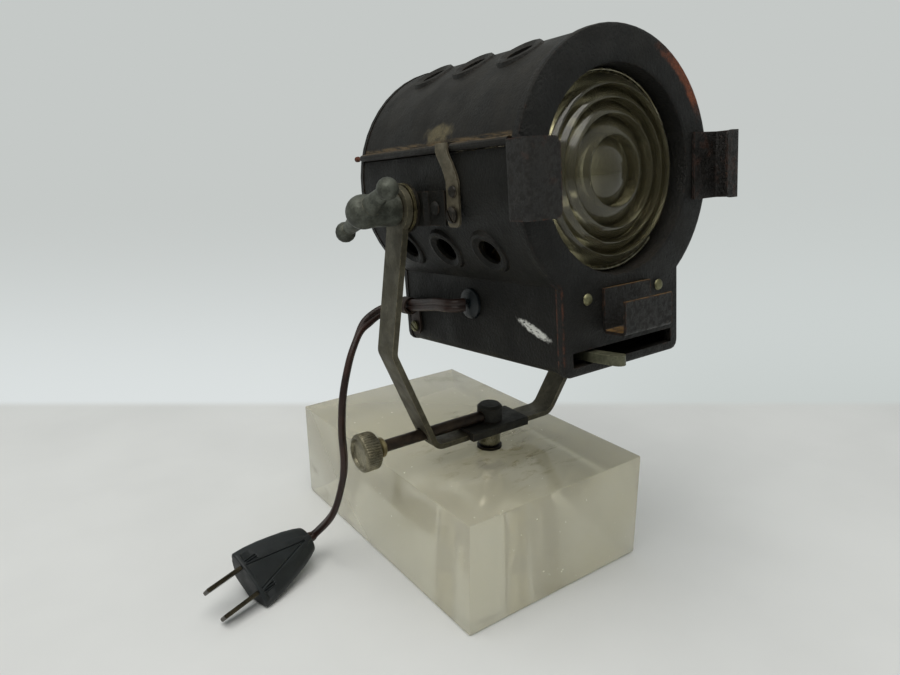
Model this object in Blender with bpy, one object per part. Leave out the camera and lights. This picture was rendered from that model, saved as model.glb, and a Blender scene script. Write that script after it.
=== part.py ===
"""A small studio Fresnel spotlight on a clear display block.

Every sub-part is one closed solid in metres, +Z up. The lamp faces -Y, and the block stands on
Z = 0. The lamp head is drawn in its own frame (X right, Y back, Z up, from the centre of the
front plate) and hangs tilted on the trunnion axis. The yoke is drawn from the pan axis.
"""

import math

import bmesh
import bpy
from mathutils import Matrix, Vector

# Clearance between solids that touch on the real lamp.
GAP = 0.0003
# A united helper stops this far short of a face that it would otherwise share.
SHY = 0.00004

# Display block, with the lamp bolted through it.
BLOCK_SIZE = (0.0975, 0.146, 0.050)
BLOCK_EDGE = 0.0009
PAN_Y = -0.0241
BOLT_RADIUS = 0.0030
BOLT_HOLE_RADIUS = 0.0034
COUNTERBORE_RADIUS = 0.0068
COUNTERBORE_DEPTH = 0.0300
WASHER_THICKNESS = 0.0011

# Yoke: a bent strap. Its arms lean forward, towards the lens.
STRAP_WIDTH = 0.0112
STRAP_THICKNESS = 0.0024
YOKE_BASE_Z = 0.0597
YOKE_BASE_HALF = 0.0330
YOKE_KINK = (0.0562, 0.1088)
YOKE_ARM_X = 0.0535
YOKE_ARM_LEAN = 0.12
YOKE_EYE_RADIUS = 0.0083
TILT_AXIS_Z = 0.1656
HUB_RADIUS = 0.0058
HUB_TOP_Z = 0.0716
SADDLE_HALF = (0.0160, 0.0087)
LOCK_Z = 0.0664
LOCK_ROD_RADIUS = 0.0026
LOCK_KNOB_RADIUS = 0.0083
LOCK_KNOB_X = -0.0610
LOCK_NECK = 0.0018
TILT_HUB_RADIUS = 0.0062
TILT_HUB_X = -0.0680
TILT_BALL_RADIUS = 0.0039
TILT_BALL_REACH = 0.0183
TILT_SPOKE_ANGLE = math.radians(30)

# Lamp head, in its own frame.
HEAD_TILT = math.radians(-5.8)
TRUNNION_Y = 0.0586
TRUNNION_Z = -0.0080
HEAD_LENGTH = 0.0985
PLATE_THICKNESS = 0.0030
PLATE_RADIUS = 0.0470
PLATE_HALF_WIDTH = 0.0297
PLATE_DROP = 0.0673
SHELL_RADIUS = 0.0463
SHELL_HALF_WIDTH = 0.0290
SHELL_DROP = 0.0666
SHELL_THICKNESS = 0.0010
LOWER_CORNER = 0.0035
COLLAR_RADIUS = 0.0345
COLLAR_WALL = 0.0020
COLLAR_DEPTH = 0.0140
LENS_SEAT_RADIUS = 0.0318
LENS_RADIUS = 0.0341
LENS_CREST_Y = 0.0024
LENS_BACK_Y = 0.0124
LENS_RIM_Y = 0.0082
LENS_STEPS = ((0.0, 0.0118), (0.0118, 0.0188), (0.0188, 0.0238), (0.0238, 0.0282), (0.0282, 0.0328))
LENS_STEP_DEPTH = 0.0048
RING_RADIUS = 0.0336
RING_WIRE = 0.0006
RING_GAP = (math.radians(-48), math.radians(-14))
SLOT_HALF_WIDTH = 0.0255
SLOT_Z = -0.0613
SLOT_HEIGHT = 0.0052
VENT_SPACING = 0.0256
VENT_FIRST_Y = 0.0244
VENT_RADIUS = 0.0094
VENT_HOLE_RADIUS = 0.0050
LOWER_VENT_ANGLE = math.radians(-31.5)
HOOD_VENT_ANGLE = math.radians(62)

# Hood: hinged along its right bead, latched on its left bead.
BEAD_X = 0.0459
BEAD_Z = 0.0115
BEAD_RADIUS = 0.0014
BEAD_BORE = 0.00095
WIRE_RADIUS = 0.00062
LATCH_GAP = (0.0332, 0.0412)
KNUCKLE = (0.0430, 0.0560)

# Filter clips on the front plate.
CLIP_WIDTH = 0.0240
CLIP_X = 0.0515
CLIP_DEPTH = 0.0105
CLIP_SHEET = 0.0010
CLIP_LIP_LEFT = 0.0128
CLIP_LIP_RIGHT = 0.0070
CLIP_LIP_BOTTOM = 0.0112
CLIP_BOTTOM_Z = -0.0540
CLIP_BOTTOM_X = 0.0008

# Trunnion brackets and the friction stack outside them.
BRACKET_Z = -0.0085
BRACKET_WIDTH = 0.0120
BRACKET_FLANGE_X = 0.0472
BRACKET_HAT_X = 0.0489
BRACKET_SHEET = 0.0010
BRACKET_HAT_HALF = 0.0102
BRACKET_HALF = 0.0215
PIVOT_HOLE_RADIUS = 0.0028
PIVOT_RADIUS = 0.0024
FRICTION_WASHER_RADIUS = 0.0090
FRICTION_WASHER_THICKNESS = 0.0010

# Focus mechanism inside the head.
FOCUS_REST_X = -0.0160
FOCUS_RATIO = -0.6
FOCUS_PIN_Y = 0.0380
FOCUS_PIN_RADIUS = 0.0015
GUIDE_Y = 0.0200
GUIDE_RADIUS = 0.0015
RAIL_X = 0.0220
RAIL_Z = -0.0500
BULB_Y = 0.0620

# Cord and plug.
CORD_RADIUS = 0.0021
CORD_END_GAP = 0.0008
GROMMET_Y = 0.0503
GROMMET_Z = -0.0460
CLAMP_Y = 0.0900
CLAMP_CORD_Z = -0.0503
CLAMP_SCREW_Z = -0.0597
CORD_ON_HEAD = (
    (-0.0326, 0.0503, -0.0460),
    (-0.0358, 0.0514, -0.0460),
    (-0.0372, 0.0550, -0.0461),
    (-0.0364, 0.0640, -0.0467),
    (-0.0342, 0.0780, -0.0488),
    (-0.0334, 0.0900, -0.0503),
    (-0.0345, 0.0985, -0.0518),
)
CORD_BEHIND_ARM = (
    (-0.0405, 0.0030, 0.1158),
    (-0.0492, 0.0020, 0.1112),
    (-0.0563, -0.0020, 0.1046),
    (-0.0608, -0.0042, 0.0968),
)
CORD_JUNCTION = (-0.0650, -0.0062, 0.0848)
CORD_LOWER = (
    (-0.0668, -0.0070, 0.0700),
    (-0.0662, -0.0062, 0.0560),
    (-0.0664, -0.0036, 0.0440),
    (-0.0692, 0.0018, 0.0270),
)
PLUG_PLACE = (-0.1110, -0.0003, 0.0104)
PLUG_TURN = (math.radians(46.0), math.radians(-6.2), math.radians(16.4))
PLUG_LENGTH = 0.0341
PLUG_TOP = 0.0033
PLUG_UNDERSIDE = -0.0090
PLUG_BELLY = 0.0013
# Half widths of the plug body at these distances from its face.
PLUG_HALF_WIDTHS = (
    (0.0, 0.0135),
    (0.006, 0.0131),
    (0.012, 0.0122),
    (0.018, 0.0109),
    (0.025, 0.0092),
    (0.030, 0.0075),
    (0.033, 0.0062),
    (PLUG_LENGTH, 0.0054),
)
BLADE_SPACING = 0.0127
BLADE_LENGTH = 0.0172
BLADE_HALF = 0.0009

SMOOTH_ANGLE = math.radians(35)


def clear_scene():
    for old in list(bpy.data.objects):
        bpy.data.objects.remove(old, do_unlink=True)


def look(name, colour, roughness, metallic=0.0, transmission=0.0):
    """A Principled material in one finish."""
    material = bpy.data.materials.new(name)
    material.use_nodes = True
    shader = material.node_tree.nodes["Principled BSDF"]
    shader.inputs["Base Color"].default_value = (*colour, 1.0)
    shader.inputs["Roughness"].default_value = roughness
    shader.inputs["Metallic"].default_value = metallic
    shader.inputs["Transmission Weight"].default_value = transmission
    material.diffuse_color = (*colour, 1.0)
    return material


def empty(name, location, rotation=(0.0, 0.0, 0.0), parent=None):
    pivot = bpy.data.objects.new(name, None)
    pivot.empty_display_size = 0.01
    pivot.location = location
    pivot.rotation_euler = rotation
    pivot.parent = parent
    bpy.context.scene.collection.objects.link(pivot)
    return pivot


def solid(name, mesh_parts, material, parent=None, place=(0.0, 0.0, 0.0)):
    """An object from a bmesh that is drawn in its parent's frame, less place."""
    bmesh.ops.recalc_face_normals(mesh_parts, faces=mesh_parts.faces)
    mesh = bpy.data.meshes.new(name)
    mesh_parts.to_mesh(mesh)
    mesh_parts.free()
    mesh.shade_smooth()
    mesh.set_sharp_from_angle(angle=SMOOTH_ANGLE)
    mesh.materials.append(material)
    made = bpy.data.objects.new(name, mesh)
    made.parent = parent
    made.location = place
    bpy.context.scene.collection.objects.link(made)
    return made


def combine(target, operation, helper_parts, label):
    """Joins a helper solid to the target, or cuts it out. Both are in the target's own frame."""
    helper = solid(
        f"{target.name}_{label}",
        helper_parts,
        target.data.materials[0],
        target.parent,
        target.location,
    )
    helper.hide_render = True
    helper.display_type = "WIRE"
    modifier = target.modifiers.new(label, "BOOLEAN")
    modifier.operation = operation
    modifier.solver = "EXACT"
    modifier.object = helper


def axis_matrix(axis):
    """Turns a shape drawn along +Z so that it runs along the named axis."""
    if axis == "X":
        return Matrix(((0, 0, 1), (1, 0, 0), (0, 1, 0))).to_4x4()
    if axis == "Y":
        return Matrix(((0, 1, 0), (0, 0, 1), (1, 0, 0))).to_4x4()
    return Matrix.Identity(4)


def turned(profile, axis="Z", centre=(0.0, 0.0, 0.0), steps=24):
    """Revolves a closed profile of (radius, height) points round an axis through centre."""
    parts = bmesh.new()
    rings = []
    for step in range(steps):
        angle = 2 * math.pi * step / steps
        ring = []
        for radius, height in profile:
            if radius < 1e-9 and rings:
                ring.append(rings[0][len(ring)])
            else:
                ring.append(
                    parts.verts.new((radius * math.cos(angle), radius * math.sin(angle), height))
                )
        rings.append(ring)
    count = len(profile)
    for step in range(steps):
        here = rings[step]
        there = rings[(step + 1) % steps]
        for index in range(count):
            after = (index + 1) % count
            corners = []
            for vert in (here[index], here[after], there[after], there[index]):
                if vert not in corners:
                    corners.append(vert)
            if len(corners) > 2:
                parts.faces.new(corners)
    bmesh.ops.transform(parts, matrix=Matrix.Translation(centre) @ axis_matrix(axis), verts=parts.verts)
    return parts


def rod(axis, centre, radius, low, high, steps=16, chamfer=0.0):
    """A plain cylinder between two heights along the axis."""
    profile = [(0.0, low), (radius - chamfer, low), (radius, low + chamfer)]
    profile += [(radius, high - chamfer), (radius - chamfer, high), (0.0, high)]
    if not chamfer:
        profile = [(0.0, low), (radius, low), (radius, high), (0.0, high)]
    return turned(profile, axis, centre, steps)


def tube(axis, centre, outer, inner, low, high, steps=16):
    return turned([(inner, low), (outer, low), (outer, high), (inner, high)], axis, centre, steps)


def box(low, high, bevel=0.0, segments=2):
    parts = bmesh.new()
    bmesh.ops.create_cube(parts, size=1.0)
    size = [high[i] - low[i] for i in range(3)]
    middle = [(high[i] + low[i]) / 2 for i in range(3)]
    bmesh.ops.transform(
        parts, matrix=Matrix.Translation(middle) @ Matrix.Diagonal((*size, 1.0)), verts=parts.verts
    )
    if bevel:
        bmesh.ops.bevel(
            parts, geom=list(parts.edges), offset=bevel, segments=segments, profile=0.5, affect="EDGES"
        )
    return parts


def prism(outline, low, high, axis):
    """Extrudes an outline. Its two coordinates are the two that follow the axis, in X, Y, Z order."""
    parts = bmesh.new()
    ends = []
    for height in (low, high):
        ends.append([parts.verts.new((u, v, height)) for u, v in outline])
    count = len(outline)
    for index in range(count):
        after = (index + 1) % count
        parts.faces.new((ends[0][index], ends[0][after], ends[1][after], ends[1][index]))
    parts.faces.new(list(reversed(ends[0])))
    parts.faces.new(ends[1])
    if axis == "Y":
        turn = Matrix(((1, 0, 0), (0, 0, 1), (0, 1, 0))).to_4x4()
    elif axis == "X":
        turn = Matrix(((0, 0, 1), (1, 0, 0), (0, 1, 0))).to_4x4()
    else:
        turn = Matrix.Identity(4)
    bmesh.ops.transform(parts, matrix=turn, verts=parts.verts)
    return parts


def arc(centre, radius, start, end, steps):
    """Points of an arc, both ends included."""
    angles = [start + (end - start) * step / steps for step in range(steps + 1)]
    return [(centre[0] + radius * math.cos(a), centre[1] + radius * math.sin(a)) for a in angles]


def rounded(points, radius, steps=3, closed=True):
    """Replaces each corner of a polygon or a path with an arc of the radius."""
    count = len(points)
    result = []
    for index, point in enumerate(points):
        if not closed and index in (0, count - 1):
            result.append(point)
            continue
        here = Vector(point)
        back = (Vector(points[index - 1]) - here).normalized()
        ahead = (Vector(points[(index + 1) % count]) - here).normalized()
        half = back.angle(ahead) / 2
        reach = radius / math.tan(half)
        middle = here + (back + ahead).normalized() * radius / math.sin(half)
        first = here + back * reach - middle
        last = here + ahead * reach - middle
        turn = first.angle_signed(last)
        start = math.atan2(first.y, first.x)
        result += arc(middle, radius, start, start - turn, steps)
    return result


def ribbon(path, thickness):
    """The outline of a sheet of the thickness, centred on an open path."""
    left, right = [], []
    for index, point in enumerate(path):
        here = Vector(point)
        before = (here - Vector(path[index - 1])).normalized() if index else None
        after = (Vector(path[index + 1]) - here).normalized() if index < len(path) - 1 else None
        along = ((before or after) + (after or before)).normalized()
        normal = Vector((-along.y, along.x))
        reference = before or after
        stretch = 1 / max(0.3, Vector((-reference.y, reference.x)).dot(normal))
        left.append(tuple(here + normal * thickness / 2 * stretch))
        right.append(tuple(here - normal * thickness / 2 * stretch))
    return left + right[::-1]


def ball(centre, radius, segments=16, rings=10):
    parts = bmesh.new()
    bmesh.ops.create_uvsphere(parts, u_segments=segments, v_segments=rings, radius=radius)
    bmesh.ops.translate(parts, vec=centre, verts=parts.verts)
    return parts


def keyhole(radius, half_width, drop, corner, top_cut=None, arc_steps=40):
    """The outline of the body: a circle with a narrower box below. top_cut leaves the top open."""
    join = math.asin(-math.sqrt(radius**2 - half_width**2) / radius)
    start = math.pi - math.asin(top_cut / radius) if top_cut is not None else math.pi / 2
    steps = arc_steps if top_cut is None else arc_steps // 3
    left = arc((0.0, 0.0), radius, start, math.pi - join, steps if top_cut is not None else steps // 2)
    corner_left = arc((-half_width + corner, -drop + corner), corner, math.pi, 1.5 * math.pi, 3)
    half = left + corner_left
    mirrored = [(-x, z) for x, z in reversed(half)]
    if top_cut is None:
        mirrored = mirrored[:-1]
    return half + mirrored


def on_head(point):
    """World place of a point in the head's frame."""
    offset = Vector(point) - Vector((0.0, TRUNNION_Y, TRUNNION_Z))
    return Vector(tilt_axis_place()) + Matrix.Rotation(HEAD_TILT, 3, "X") @ offset


def tilt_axis_place():
    lean = YOKE_ARM_LEAN * (TILT_AXIS_Z - YOKE_BASE_Z - STRAP_THICKNESS)
    return (0.0, PAN_Y - lean, TILT_AXIS_Z)


# ---------------------------------------------------------------------------------- base


def build_base(looks):
    half_x, half_y, height = BLOCK_SIZE[0] / 2, BLOCK_SIZE[1] / 2, BLOCK_SIZE[2]
    block = solid(
        "acrylic_block", box(
            (-half_x, -half_y, 0.0), (half_x, half_y, height), BLOCK_EDGE
        ), looks["acrylic"]
    )
    bore = [
        (0.0, -0.001),
        (COUNTERBORE_RADIUS, -0.001),
        (COUNTERBORE_RADIUS, COUNTERBORE_DEPTH),
        (BOLT_HOLE_RADIUS, COUNTERBORE_DEPTH),
        (BOLT_HOLE_RADIUS, height + 0.001),
        (0.0, height + 0.001),
    ]
    combine(block, "DIFFERENCE", turned(bore, "Z", (0.0, PAN_Y, 0.0), 32), "bore")

    washer_top = COUNTERBORE_DEPTH - GAP
    washer_low = washer_top - WASHER_THICKNESS
    pan = (0.0, PAN_Y, 0.0)
    solid(
        "bolt_washer",
        tube("Z", pan, 0.0062, BOLT_HOLE_RADIUS, washer_low, washer_top, 24),
        looks["steel"],
    )
    head_top = washer_low - GAP
    shank_top = LOCK_Z + 0.0012
    bolt_profile = [
        (0.0, head_top - 0.004),
        (0.0052, head_top - 0.004),
        (0.0052, head_top),
        (BOLT_RADIUS, head_top),
        (BOLT_RADIUS, shank_top),
        (0.0, shank_top),
    ]
    bolt = solid("clamp_bolt", turned(bolt_profile, "Z", pan, 18), looks["steel"])
    combine(bolt, "DIFFERENCE", rod("Z", pan, 0.0024, head_top - 0.006, head_top - 0.0015, 6), "socket")
    top_washer_top = height + GAP + 0.0012
    solid(
        "top_washer",
        tube("Z", pan, 0.0058, BOLT_HOLE_RADIUS, height + GAP, top_washer_top, 24),
        looks["dark_steel"],
    )
    spacer_top = YOKE_BASE_Z - GAP
    spacer = [
        (BOLT_HOLE_RADIUS, top_washer_top + GAP),
        (0.0044, top_washer_top + GAP),
        (0.0050, top_washer_top + 0.0012),
        (0.0050, spacer_top),
        (BOLT_HOLE_RADIUS, spacer_top),
    ]
    solid("spacer", turned(spacer, "Z", pan, 24), looks["nickel"])


# ---------------------------------------------------------------------------------- yoke


def lean_arms(parts):
    """Shears the arms forward above the base strap."""
    start = YOKE_BASE_Z + STRAP_THICKNESS
    for vert in parts.verts:
        vert.co.y -= YOKE_ARM_LEAN * max(0.0, vert.co.z - start)


def build_yoke(looks, pan_pivot):
    middle_z = YOKE_BASE_Z + STRAP_THICKNESS / 2
    arm_x = YOKE_ARM_X
    kink_x, kink_z = YOKE_KINK
    corners = [
        (-arm_x, TILT_AXIS_Z),
        (-arm_x, TILT_AXIS_Z - 0.009),
        (-kink_x, kink_z),
        (-YOKE_BASE_HALF, middle_z),
        (YOKE_BASE_HALF, middle_z),
        (kink_x, kink_z),
        (arm_x, TILT_AXIS_Z - 0.009),
        (arm_x, TILT_AXIS_Z),
    ]
    path = rounded(corners, 0.0055, 4, closed=False)
    half = STRAP_WIDTH / 2
    strap_parts = prism(ribbon(path, STRAP_THICKNESS), -half, half, "Y")
    lean_arms(strap_parts)
    strap = solid("yoke_strap", strap_parts, looks["aged_steel"], pan_pivot)
    eye_y = tilt_axis_place()[1] - PAN_Y
    for side, label in ((-1, "left"), (1, "right")):
        low = side * arm_x - STRAP_THICKNESS / 2
        high = side * arm_x + STRAP_THICKNESS / 2
        centre = (0.0, eye_y, TILT_AXIS_Z)
        eye = rod("X", centre, YOKE_EYE_RADIUS, low + SHY, high - SHY, 28)
        combine(strap, "UNION", eye, f"eye_{label}")
        combine(
            strap,
            "DIFFERENCE",
            rod("X", centre, PIVOT_HOLE_RADIUS, low - 0.002, high + 0.002),
            f"hole_{label}",
        )
    lock_hole = rod("X", (0.0, 0.0, LOCK_Z), LOCK_ROD_RADIUS + 0.0009, -0.05, -0.03)
    combine(strap, "DIFFERENCE", lock_hole, "lock_hole")
    stud_hole = rod("Z", (0.0, 0.0, 0.0), BOLT_HOLE_RADIUS, YOKE_BASE_Z - 0.002, YOKE_BASE_Z + 0.005)
    combine(strap, "DIFFERENCE", stud_hole, "stud_hole")

    half_x, half_y = SADDLE_HALF
    strap_top = YOKE_BASE_Z + STRAP_THICKNESS
    saddle_top = strap_top + GAP + 0.0014
    inner = half + 0.0005
    outline = [
        (-half_y, YOKE_BASE_Z + 0.0003),
        (-inner, YOKE_BASE_Z + 0.0003),
        (-inner, strap_top + GAP),
        (inner, strap_top + GAP),
        (inner, YOKE_BASE_Z + 0.0003),
        (half_y, YOKE_BASE_Z + 0.0003),
        (half_y, saddle_top - 0.0006),
        (half_y - 0.0006, saddle_top),
        (-half_y + 0.0006, saddle_top),
        (-half_y, saddle_top - 0.0006),
    ]
    saddle = solid("hub_saddle", prism(outline, -half_x, half_x, "X"), looks["cast"], pan_pivot)
    saddle_hole = rod("Z", (0.0, 0.0, 0.0), BOLT_HOLE_RADIUS, strap_top - 0.002, saddle_top + 0.002)
    combine(saddle, "DIFFERENCE", saddle_hole, "hole")

    hub_low = saddle_top + GAP
    bore = BOLT_HOLE_RADIUS
    bore_top = LOCK_Z + 0.0022
    hub_profile = [
        (bore, hub_low),
        (HUB_RADIUS, hub_low),
        (HUB_RADIUS, HUB_TOP_Z - 0.0012),
        (HUB_RADIUS - 0.0012, HUB_TOP_Z),
        (0.0, HUB_TOP_Z),
        (0.0, bore_top),
        (bore, bore_top),
    ]
    hub = solid("spigot_hub", turned(hub_profile, "Z", (0.0, 0.0, 0.0), 24), looks["cast"], pan_pivot)
    boss_radius = LOCK_Z - hub_low - 0.0001
    combine(
        hub,
        "UNION",
        rod("X", (0.0, 0.0, LOCK_Z), boss_radius, -0.0092, -0.0045, 16, 0.0004),
        "boss",
    )
    combine(
        hub,
        "DIFFERENCE",
        rod("X", (0.0, 0.0, LOCK_Z), LOCK_ROD_RADIUS + GAP, -0.0110, -0.0020),
        "lock_bore",
    )


def build_lock_screw(looks, lock_pivot):
    """The rod that clamps the hub on its spigot, and its knurled knob. Drawn from the rod's axis."""
    knob_face = LOCK_KNOB_X - 0.0075
    rod_profile = [
        (0.0, LOCK_KNOB_X + LOCK_NECK),
        (0.0034, LOCK_KNOB_X + LOCK_NECK),
        (0.0043, LOCK_KNOB_X + LOCK_NECK + 0.0006),
        (0.0043, LOCK_KNOB_X + LOCK_NECK + 0.0018),
        (0.0036, LOCK_KNOB_X + LOCK_NECK + 0.0026),
        (LOCK_ROD_RADIUS, LOCK_KNOB_X + LOCK_NECK + 0.0026),
        (LOCK_ROD_RADIUS, -BOLT_RADIUS - 0.0012),
        (LOCK_ROD_RADIUS - 0.0006, -BOLT_RADIUS - 0.0006),
        (0.0, -BOLT_RADIUS - 0.0006),
    ]
    solid("lock_rod", turned(rod_profile, "X", (0.0, 0.0, 0.0), 20), looks["dark_steel"], lock_pivot)
    knurls = 30
    steps = knurls * 2
    outline = []
    for step in range(steps):
        angle = 2 * math.pi * step / steps
        radius = LOCK_KNOB_RADIUS - (0.0004 if step % 2 else 0.0)
        outline.append((radius * math.cos(angle), radius * math.sin(angle)))
    knob = solid("lock_knob", prism(outline, knob_face, LOCK_KNOB_X, "X"), looks["nickel"], lock_pivot)
    dish = [
        (0.0, knob_face - 0.001),
        (LOCK_KNOB_RADIUS - 0.0022, knob_face - 0.001),
        (LOCK_KNOB_RADIUS - 0.0024, knob_face + 0.0005),
        (0.0, knob_face + 0.0014),
    ]
    combine(knob, "DIFFERENCE", turned(dish, "X", (0.0, 0.0, 0.0), 32), "dish")
    neck = rod("X", (0.0, 0.0, 0.0), 0.0030, LOCK_KNOB_X - 0.001, LOCK_KNOB_X + LOCK_NECK - GAP, 20)
    combine(knob, "UNION", neck, "neck")


def build_tilt_knob(looks, knob_pivot):
    """A cast handle with a ball at each end of two spokes. Drawn from the tilt axis."""
    outer = -YOKE_ARM_X - STRAP_THICKNESS / 2 - GAP
    inner = -BRACKET_HAT_X + 0.0012
    profile = [(0.0, TILT_HUB_X - TILT_HUB_RADIUS)]
    profile += [
        (TILT_HUB_RADIUS * math.sin(a), TILT_HUB_X - TILT_HUB_RADIUS * math.cos(a))
        for a in (math.radians(15 * i) for i in range(1, 7))
    ]
    profile += [
        (TILT_HUB_RADIUS - 0.0004, outer - 0.0080),
        (TILT_HUB_RADIUS, outer - 0.0030),
        (TILT_HUB_RADIUS - 0.0002, outer),
        (PIVOT_RADIUS, outer),
        (PIVOT_RADIUS, inner),
        (0.0, inner),
    ]
    knob = solid("tilt_knob", turned(profile, "X", (0.0, 0.0, 0.0), 24), looks["cast_grey"], knob_pivot)
    for side, label in ((1, "front"), (-1, "rear")):
        direction = Vector((0.0, -math.cos(TILT_SPOKE_ANGLE), math.sin(TILT_SPOKE_ANGLE))) * side
        spoke = turned(
            [
                (0.0, 0.003),
                (0.0040, 0.003),
                (0.0024, TILT_BALL_REACH - 0.002),
                (0.0, TILT_BALL_REACH - 0.002),
            ],
            steps=12,
        )
        turn = direction.to_track_quat("Z", "Y").to_matrix().to_4x4()
        place = Matrix.Translation((TILT_HUB_X + 0.001, 0.0, 0.0))
        bmesh.ops.transform(spoke, matrix=place @ turn, verts=spoke.verts)
        combine(knob, "UNION", spoke, f"spoke_{label}")
        centre = direction * TILT_BALL_REACH + Vector((TILT_HUB_X + 0.001, 0.0, 0.0))
        combine(knob, "UNION", ball(centre, TILT_BALL_RADIUS, 14, 8), f"ball_{label}")


def build_friction_stack(looks, pan_pivot):
    """Washers between each arm and its trunnion bracket, and the right-hand pivot bolt."""
    eye = (0.0, tilt_axis_place()[1] - PAN_Y, TILT_AXIS_Z)
    hat_face = BRACKET_HAT_X + BRACKET_SHEET / 2
    for side, label in ((-1, "left"), (1, "right")):
        start = hat_face + GAP
        for kind, material in (("inner", "dark_steel"), ("outer", "brass_washer")):
            end = start + FRICTION_WASHER_THICKNESS
            low, high = sorted((side * start, side * end))
            washer = tube("X", eye, FRICTION_WASHER_RADIUS, PIVOT_HOLE_RADIUS, low, high, 20)
            solid(f"friction_washer_{label}_{kind}", washer, looks[material], pan_pivot)
            start = end + GAP
    face = YOKE_ARM_X + STRAP_THICKNESS / 2 + GAP
    bolt = solid(
        "pivot_bolt", rod(
            "X", eye, 0.0052, face, face + 0.0038, 6, 0.0004
        ), looks["dark_steel"], pan_pivot
    )
    shank = rod("X", eye, PIVOT_RADIUS, BRACKET_HAT_X - 0.0012, face + 0.001)
    combine(bolt, "UNION", shank, "shank")


# ---------------------------------------------------------------------------------- head


def build_front_plate(looks, head_pivot, origin):
    outline = keyhole(PLATE_RADIUS, PLATE_HALF_WIDTH, PLATE_DROP, LOWER_CORNER, arc_steps=56)
    plate_parts = prism(outline, 0.0, PLATE_THICKNESS, "Y")
    rim = [edge for edge in plate_parts.edges if all(abs(v.co.y) < 1e-6 for v in edge.verts)]
    bmesh.ops.bevel(plate_parts, geom=rim, offset=0.0011, segments=2, profile=0.5, affect="EDGES")
    plate = solid("front_plate", plate_parts, looks["crinkle"], head_pivot, origin)
    outer = COLLAR_RADIUS + COLLAR_WALL
    collar = tube(
        "Y", (0.0, 0.0, 0.0), outer, LENS_SEAT_RADIUS, PLATE_THICKNESS - 0.001, COLLAR_DEPTH, 48
    )
    combine(plate, "UNION", collar, "collar")
    lip = 0.0012
    opening = [
        (0.0, -0.001),
        (COLLAR_RADIUS + lip + 0.001, -0.001),
        (COLLAR_RADIUS + lip, 0.0),
        (COLLAR_RADIUS + lip * 0.3, lip * 0.3),
        (COLLAR_RADIUS, lip),
        (COLLAR_RADIUS, COLLAR_DEPTH - 0.0012),
        (0.0, COLLAR_DEPTH - 0.0012),
    ]
    combine(plate, "DIFFERENCE", turned(opening, "Y", (0.0, 0.0, 0.0), 48), "opening")
    half = SLOT_HEIGHT / 2
    slot = box(
        (-SLOT_HALF_WIDTH, -0.002, SLOT_Z - half),
        (SLOT_HALF_WIDTH, PLATE_THICKNESS + 0.002, SLOT_Z + half),
    )
    combine(plate, "DIFFERENCE", slot, "focus_slot")


def vent_boss(angle, y):
    """An embossed ring that stands on the shell at an angle from +X, drawn in the head's frame."""
    profile = [
        (VENT_HOLE_RADIUS - 0.0008, -0.0016),
        (VENT_RADIUS, -0.0016),
        (VENT_RADIUS - 0.0012, 0.0006),
        (VENT_RADIUS - 0.0024, 0.0009),
        (VENT_HOLE_RADIUS - 0.0008, -0.0005),
    ]
    return placed_on_shell(turned(profile, steps=16), angle, y)


def placed_on_shell(parts, angle, y):
    outward = Vector((math.cos(angle), 0.0, math.sin(angle)))
    turn = outward.to_track_quat("Z", "Y").to_matrix().to_4x4()
    place = Matrix.Translation(outward * SHELL_RADIUS + Vector((0.0, y, 0.0)))
    bmesh.ops.transform(parts, matrix=place @ turn, verts=parts.verts)
    return parts


def add_vents(shell, angles):
    for row, angle in enumerate(angles):
        for index in range(3):
            y = VENT_FIRST_Y + index * VENT_SPACING
            combine(shell, "UNION", vent_boss(angle, y), f"vent_{row}_{index}")
            hole = placed_on_shell(
                rod("Z", (0.0, 0.0, 0.0), VENT_HOLE_RADIUS, -0.006, 0.006, 14), angle, y
            )
            combine(shell, "DIFFERENCE", hole, f"hole_{row}_{index}")


def shell_ends():
    return PLATE_THICKNESS + GAP, HEAD_LENGTH - PLATE_THICKNESS - GAP


def build_housing(looks, head_pivot, origin):
    top = BEAD_Z - BEAD_RADIUS - GAP
    outer = keyhole(SHELL_RADIUS, SHELL_HALF_WIDTH, SHELL_DROP, LOWER_CORNER, top)
    sheet = SHELL_THICKNESS
    inner = keyhole(
        SHELL_RADIUS - sheet,
        SHELL_HALF_WIDTH - sheet,
        SHELL_DROP - sheet,
        LOWER_CORNER - sheet,
        top,
    )
    low, high = shell_ends()
    housing = solid(
        "housing", prism(outer + inner[::-1], low, high, "Y"), looks["crinkle"], head_pivot, origin
    )
    add_vents(housing, (math.pi - LOWER_VENT_ANGLE, LOWER_VENT_ANGLE))
    grommet_hole = rod(
        "X",
        (0.0, GROMMET_Y, GROMMET_Z),
        0.0046,
        -SHELL_HALF_WIDTH - 0.002,
        -SHELL_HALF_WIDTH + 0.003,
    )
    combine(housing, "DIFFERENCE", grommet_hole, "grommet_hole")
    web = box(
        (BEAD_X - 0.0016, KNUCKLE[0] + 0.0004, top - 0.0015),
        (BEAD_X - 0.0008, KNUCKLE[1] - 0.0004, BEAD_Z),
    )
    combine(housing, "UNION", web, "knuckle_web")
    centre = (BEAD_X, 0.0, BEAD_Z)
    combine(
        housing,
        "UNION",
        rod("Y", centre, BEAD_RADIUS, KNUCKLE[0] + 0.0004, KNUCKLE[1] - 0.0004, 12),
        "knuckle",
    )
    combine(
        housing,
        "DIFFERENCE",
        rod("Y", centre, BEAD_BORE, KNUCKLE[0] - 0.001, KNUCKLE[1] + 0.001, 12),
        "pin_bore",
    )


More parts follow.
